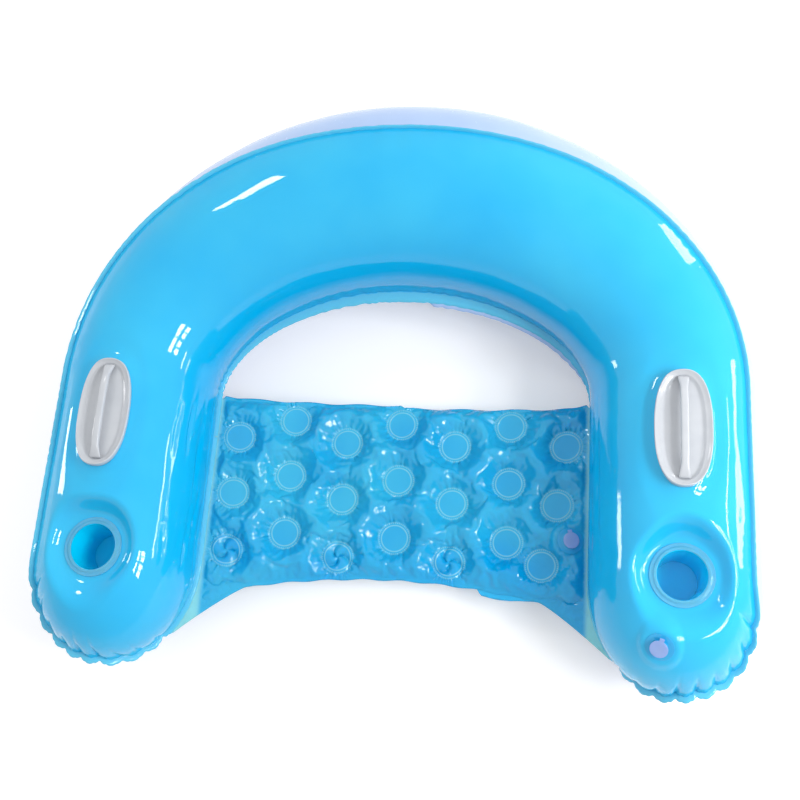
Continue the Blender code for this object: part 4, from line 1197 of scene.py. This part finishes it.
def grab_handle(side, word):
    width, length = HANDLE_WIDTH, HANDLE_LENGTH
    rings = [oval(side, width * share, length * share, 0) for share in (0.02, 0.25, 0.5, 0.75, 0.99)]
    rim = [(0, 0.0006), (0, 0.0040), (0.0002, 0.0080), (0.0006, 0.0108), (0.0012, 0.0117),
           (0.0020, HANDLE_RIM_HEIGHT), (0.0027, 0.0117), (0.0033, 0.0109), (0.0055, 0.0090),
           (0.0080, 0.0071), (0.0088, 0.0068), (0.0096, 0.0060), (0.0118, 0.0036),
           (0.0134, 0.0023), (0.0150, HANDLE_FLOOR)]
    for inset, height in rim:
        rings.append(oval(side, width - 2 * inset, length - 2 * inset, height))
    width, length = width - 0.030, length - 0.030
    for share in (0.9, 0.7, 0.5, 0.3, 0.1):
        rings.append(oval(side, width * share, length * share, HANDLE_FLOOR))
    plate = solid(f"grip_plate_{word}", rings, grip_vinyl, closed=False, caps=True, sharp=60)
    stands_for(plate, "grip_vinyl", f"handle_{word}")

    reach = HANDLE_LENGTH / 2 - HANDLE_RIM_WIDTH - 0.004
    rings = []
    turn = np.linspace(0, 2 * math.pi, 32, endpoint=False)
    x, z = np.cos(turn), np.sin(turn)
    full = (np.abs(x) ** 4 + np.abs(z) ** 4) ** -0.25
    for share in np.linspace(-1, 1, 81):
        rise = (1 - abs(share) ** 5) * (HANDLE_BAR_HEIGHT - 0.0055)
        flare = 1 + 0.55 * smooth((abs(share) - 0.72) / 0.28)
        deep = HANDLE_BAR_DEPTH * (1 + 0.35 * (1 - smooth((abs(share) - 0.7) / 0.3)))
        across = x * full * HANDLE_BAR_WIDTH / 2 * flare
        height = 0.0055 + rise - (deep - HANDLE_BAR_DEPTH) / 2 + z * full * deep / 2
        rings.append(handle_place(side, across, reach * share + 0 * x, np.maximum(height, 0.0012)))
    bar = solid(f"grip_bar_{word}", rings, grip_vinyl, closed=False, caps=True, sharp=60)
    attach(bar, ROOT)


for side, word in ((-1, "left"), (1, "right")):
    cup_holder(side, word)
    grab_handle(side, word)


# Valves
def rounded_copy(name, node, finish, body):
    """The valve's own solid again, with soft moulded edges and round turned faces."""
    mesh = node.data.copy()
    shape = bmesh.new()
    shape.from_mesh(mesh)
    bmesh.ops.remove_doubles(shape, verts=shape.verts, dist=0.00001)
    bmesh.ops.dissolve_limit(shape, angle_limit=math.radians(1.5), verts=shape.verts, edges=shape.edges)
    shape.to_mesh(mesh)
    shape.free()
    mesh.materials.clear()
    mesh.materials.append(finish)
    piece = bpy.data.objects.new(f"{name}_soft", mesh)
    bpy.context.scene.collection.objects.link(piece)
    piece.matrix_world = node.matrix_world
    edge = piece.modifiers.new("edge", "BEVEL")
    edge.width = 0.0003
    edge.segments = 2
    edge.limit_method = "ANGLE"
    edge.angle_limit = math.radians(35)
    smoother = piece.modifiers.new("round", "SUBSURF")
    smoother.levels = smoother.render_levels = 1
    mesh.shade_smooth()
    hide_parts(name)
    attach(piece, body)


for name, node in list(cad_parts.items()):
    if "valve" in name:
        flange = "flange" in name
        rounded_copy(name, node, flange_vinyl if flange else valve_vinyl, ROOT if flange else name)


# Strength of the room's light at its dim and bright side, and as the eye sees it
ROOM_LOW, ROOM_HIGH, ROOM_SEEN = 0.64, 1.0, 0.9
FLOOR_GLOW = 0.30
# Azimuth, elevation, distance, size and radiance of each lamp
PANE_AZIMUTHS, PANE_ELEVATIONS = (92, 100, 110, 118), (37, 47)
LAMPS = {f"pane_{azimuth}_{elevation}": (azimuth, elevation, 2.6, (0.23, 0.27), 25)
         for azimuth in PANE_AZIMUTHS for elevation in PANE_ELEVATIONS}
LAMPS["strip_high"] = (86, 21, 2.3, (0.80, 0.07), 19)
LAMPS["strip_right"] = (80, 8, 2.3, (0.75, 0.14), 12)
LAMPS["strip_back_right"] = (48, 10, 2.4, (0.34, 0.34), 10)
LAMPS["strip_left"] = (-84, 10, 2.2, (0.26, 0.36), 12)
LAMPS["softbox_back_left"] = (-48, 50, 2.6, (0.26, 0.26), 20)
LAMP_TARGET = Vector((0, -0.05, 0.1))
# The camera stands as the photo's did
AZIMUTH, ELEVATION, ROLL = 153.20, 70.68, math.radians(-24.07)
DISTANCE, LENS, SENSOR = 1.788, 45.85, 36
CAMERA_TARGET = Vector((0.005, SHIFT_Y - 0.005, 0.13))


def straight_rays(tree):
    """1 for the rays that show the background: from the camera, mirrored or refracted."""
    path = tree.nodes.new("ShaderNodeLightPath")
    total = path.outputs["Is Camera Ray"]
    for key in ("Is Glossy Ray", "Is Transmission Ray"):
        node = tree.nodes.new("ShaderNodeMath")
        node.operation = "MAXIMUM"
        tree.links.new(total, node.inputs[0])
        tree.links.new(path.outputs[key], node.inputs[1])
        total = node.outputs[0]
    return total


# Floor: white to the eye, and it keeps the shadow
bpy.ops.mesh.primitive_plane_add(size=14, location=(0, 0, -0.0006))
ground = bpy.context.object
ground.name = "studio_floor"
finish = Finish("studio_floor")
finish.color(finish.mix(finish.clouds(1.5, 2), (0.82, 0.82, 0.82), (0.80, 0.80, 0.805)))
finish.set(Roughness=0.9, Specular_IOR_Level=0.0, Emission_Color=(1, 1, 1, 1))
glow = finish.spread(straight_rays(finish.tree), 0, 1, 0, FLOOR_GLOW)
finish.link(glow, finish.shader.inputs["Emission Strength"])
ground.data.materials.append(finish.material)

# Light: an even white room, and lamps that give the glints
world = bpy.data.worlds.new("studio")
world.use_nodes = True
bpy.context.scene.world = world
tree = world.node_tree
background = tree.nodes["Background"]
background.inputs["Color"].default_value = (1, 1, 1, 1)
toward = tree.nodes.new("ShaderNodeVectorMath")
toward.operation = "DOT_PRODUCT"
toward.inputs[1].default_value = (0, 0.8, 0.6)
tree.links.new(tree.nodes.new("ShaderNodeTexCoord").outputs["Generated"], toward.inputs[0])
shade = tree.nodes.new("ShaderNodeMapRange")
shade.interpolation_type = "SMOOTHSTEP"
for key, amount in (("From Min", 0.0), ("From Max", 0.9), ("To Min", ROOM_LOW), ("To Max", ROOM_HIGH)):
    shade.inputs[key].default_value = amount
tree.links.new(toward.outputs["Value"], shade.inputs["Value"])
seen = tree.nodes.new("ShaderNodeMix")
seen.inputs["B"].default_value = ROOM_SEEN
tree.links.new(shade.outputs["Result"], seen.inputs["A"])
tree.links.new(straight_rays(tree), seen.inputs["Factor"])
tree.links.new(seen.outputs["Result"], background.inputs["Strength"])


def toward_sky(azimuth, elevation):
    """Direction to a place in the sky. Azimuth 0 is over +Y and 90 over +X."""
    az, el = math.radians(azimuth), math.radians(elevation)
    return Vector((math.sin(az) * math.cos(el), math.cos(az) * math.cos(el), math.sin(el)))


for name, (azimuth, elevation, distance, size, radiance) in LAMPS.items():
    light = bpy.data.lights.new(name, "AREA")
    light.shape = "RECTANGLE"
    light.size, light.size_y = size
    light.energy = radiance * math.pi * size[0] * size[1]
    lamp = bpy.data.objects.new(name, light)
    spot = toward_sky(azimuth, elevation)
    lamp.location = LAMP_TARGET + spot * distance
    lamp.rotation_euler = spot.to_track_quat("Z", "Y").to_euler()
    lamp.visible_transmission = False
    bpy.context.scene.collection.objects.link(lamp)

# Camera
back = toward_sky(AZIMUTH, ELEVATION)
right = (-back).cross(Vector((0, 0, 1))).normalized()
up = right.cross(-back)
right, up = (right * math.cos(ROLL) + up * math.sin(ROLL),
             up * math.cos(ROLL) - right * math.sin(ROLL))
spot = CAMERA_TARGET + back * DISTANCE
camera = bpy.data.cameras.new("camera")
camera.lens, camera.sensor_width = LENS, SENSOR
camera.clip_start = 0.05
view = bpy.data.objects.new("camera", camera)
view.matrix_world = Matrix(((right.x, up.x, back.x, spot.x), (right.y, up.y, back.y, spot.y),
                            (right.z, up.z, back.z, spot.z), (0, 0, 0, 1)))
bpy.context.scene.collection.objects.link(view)
bpy.context.scene.camera = view
bpy.context.scene.view_settings.view_transform = "Standard"
bpy.context.scene.view_settings.look = "None"
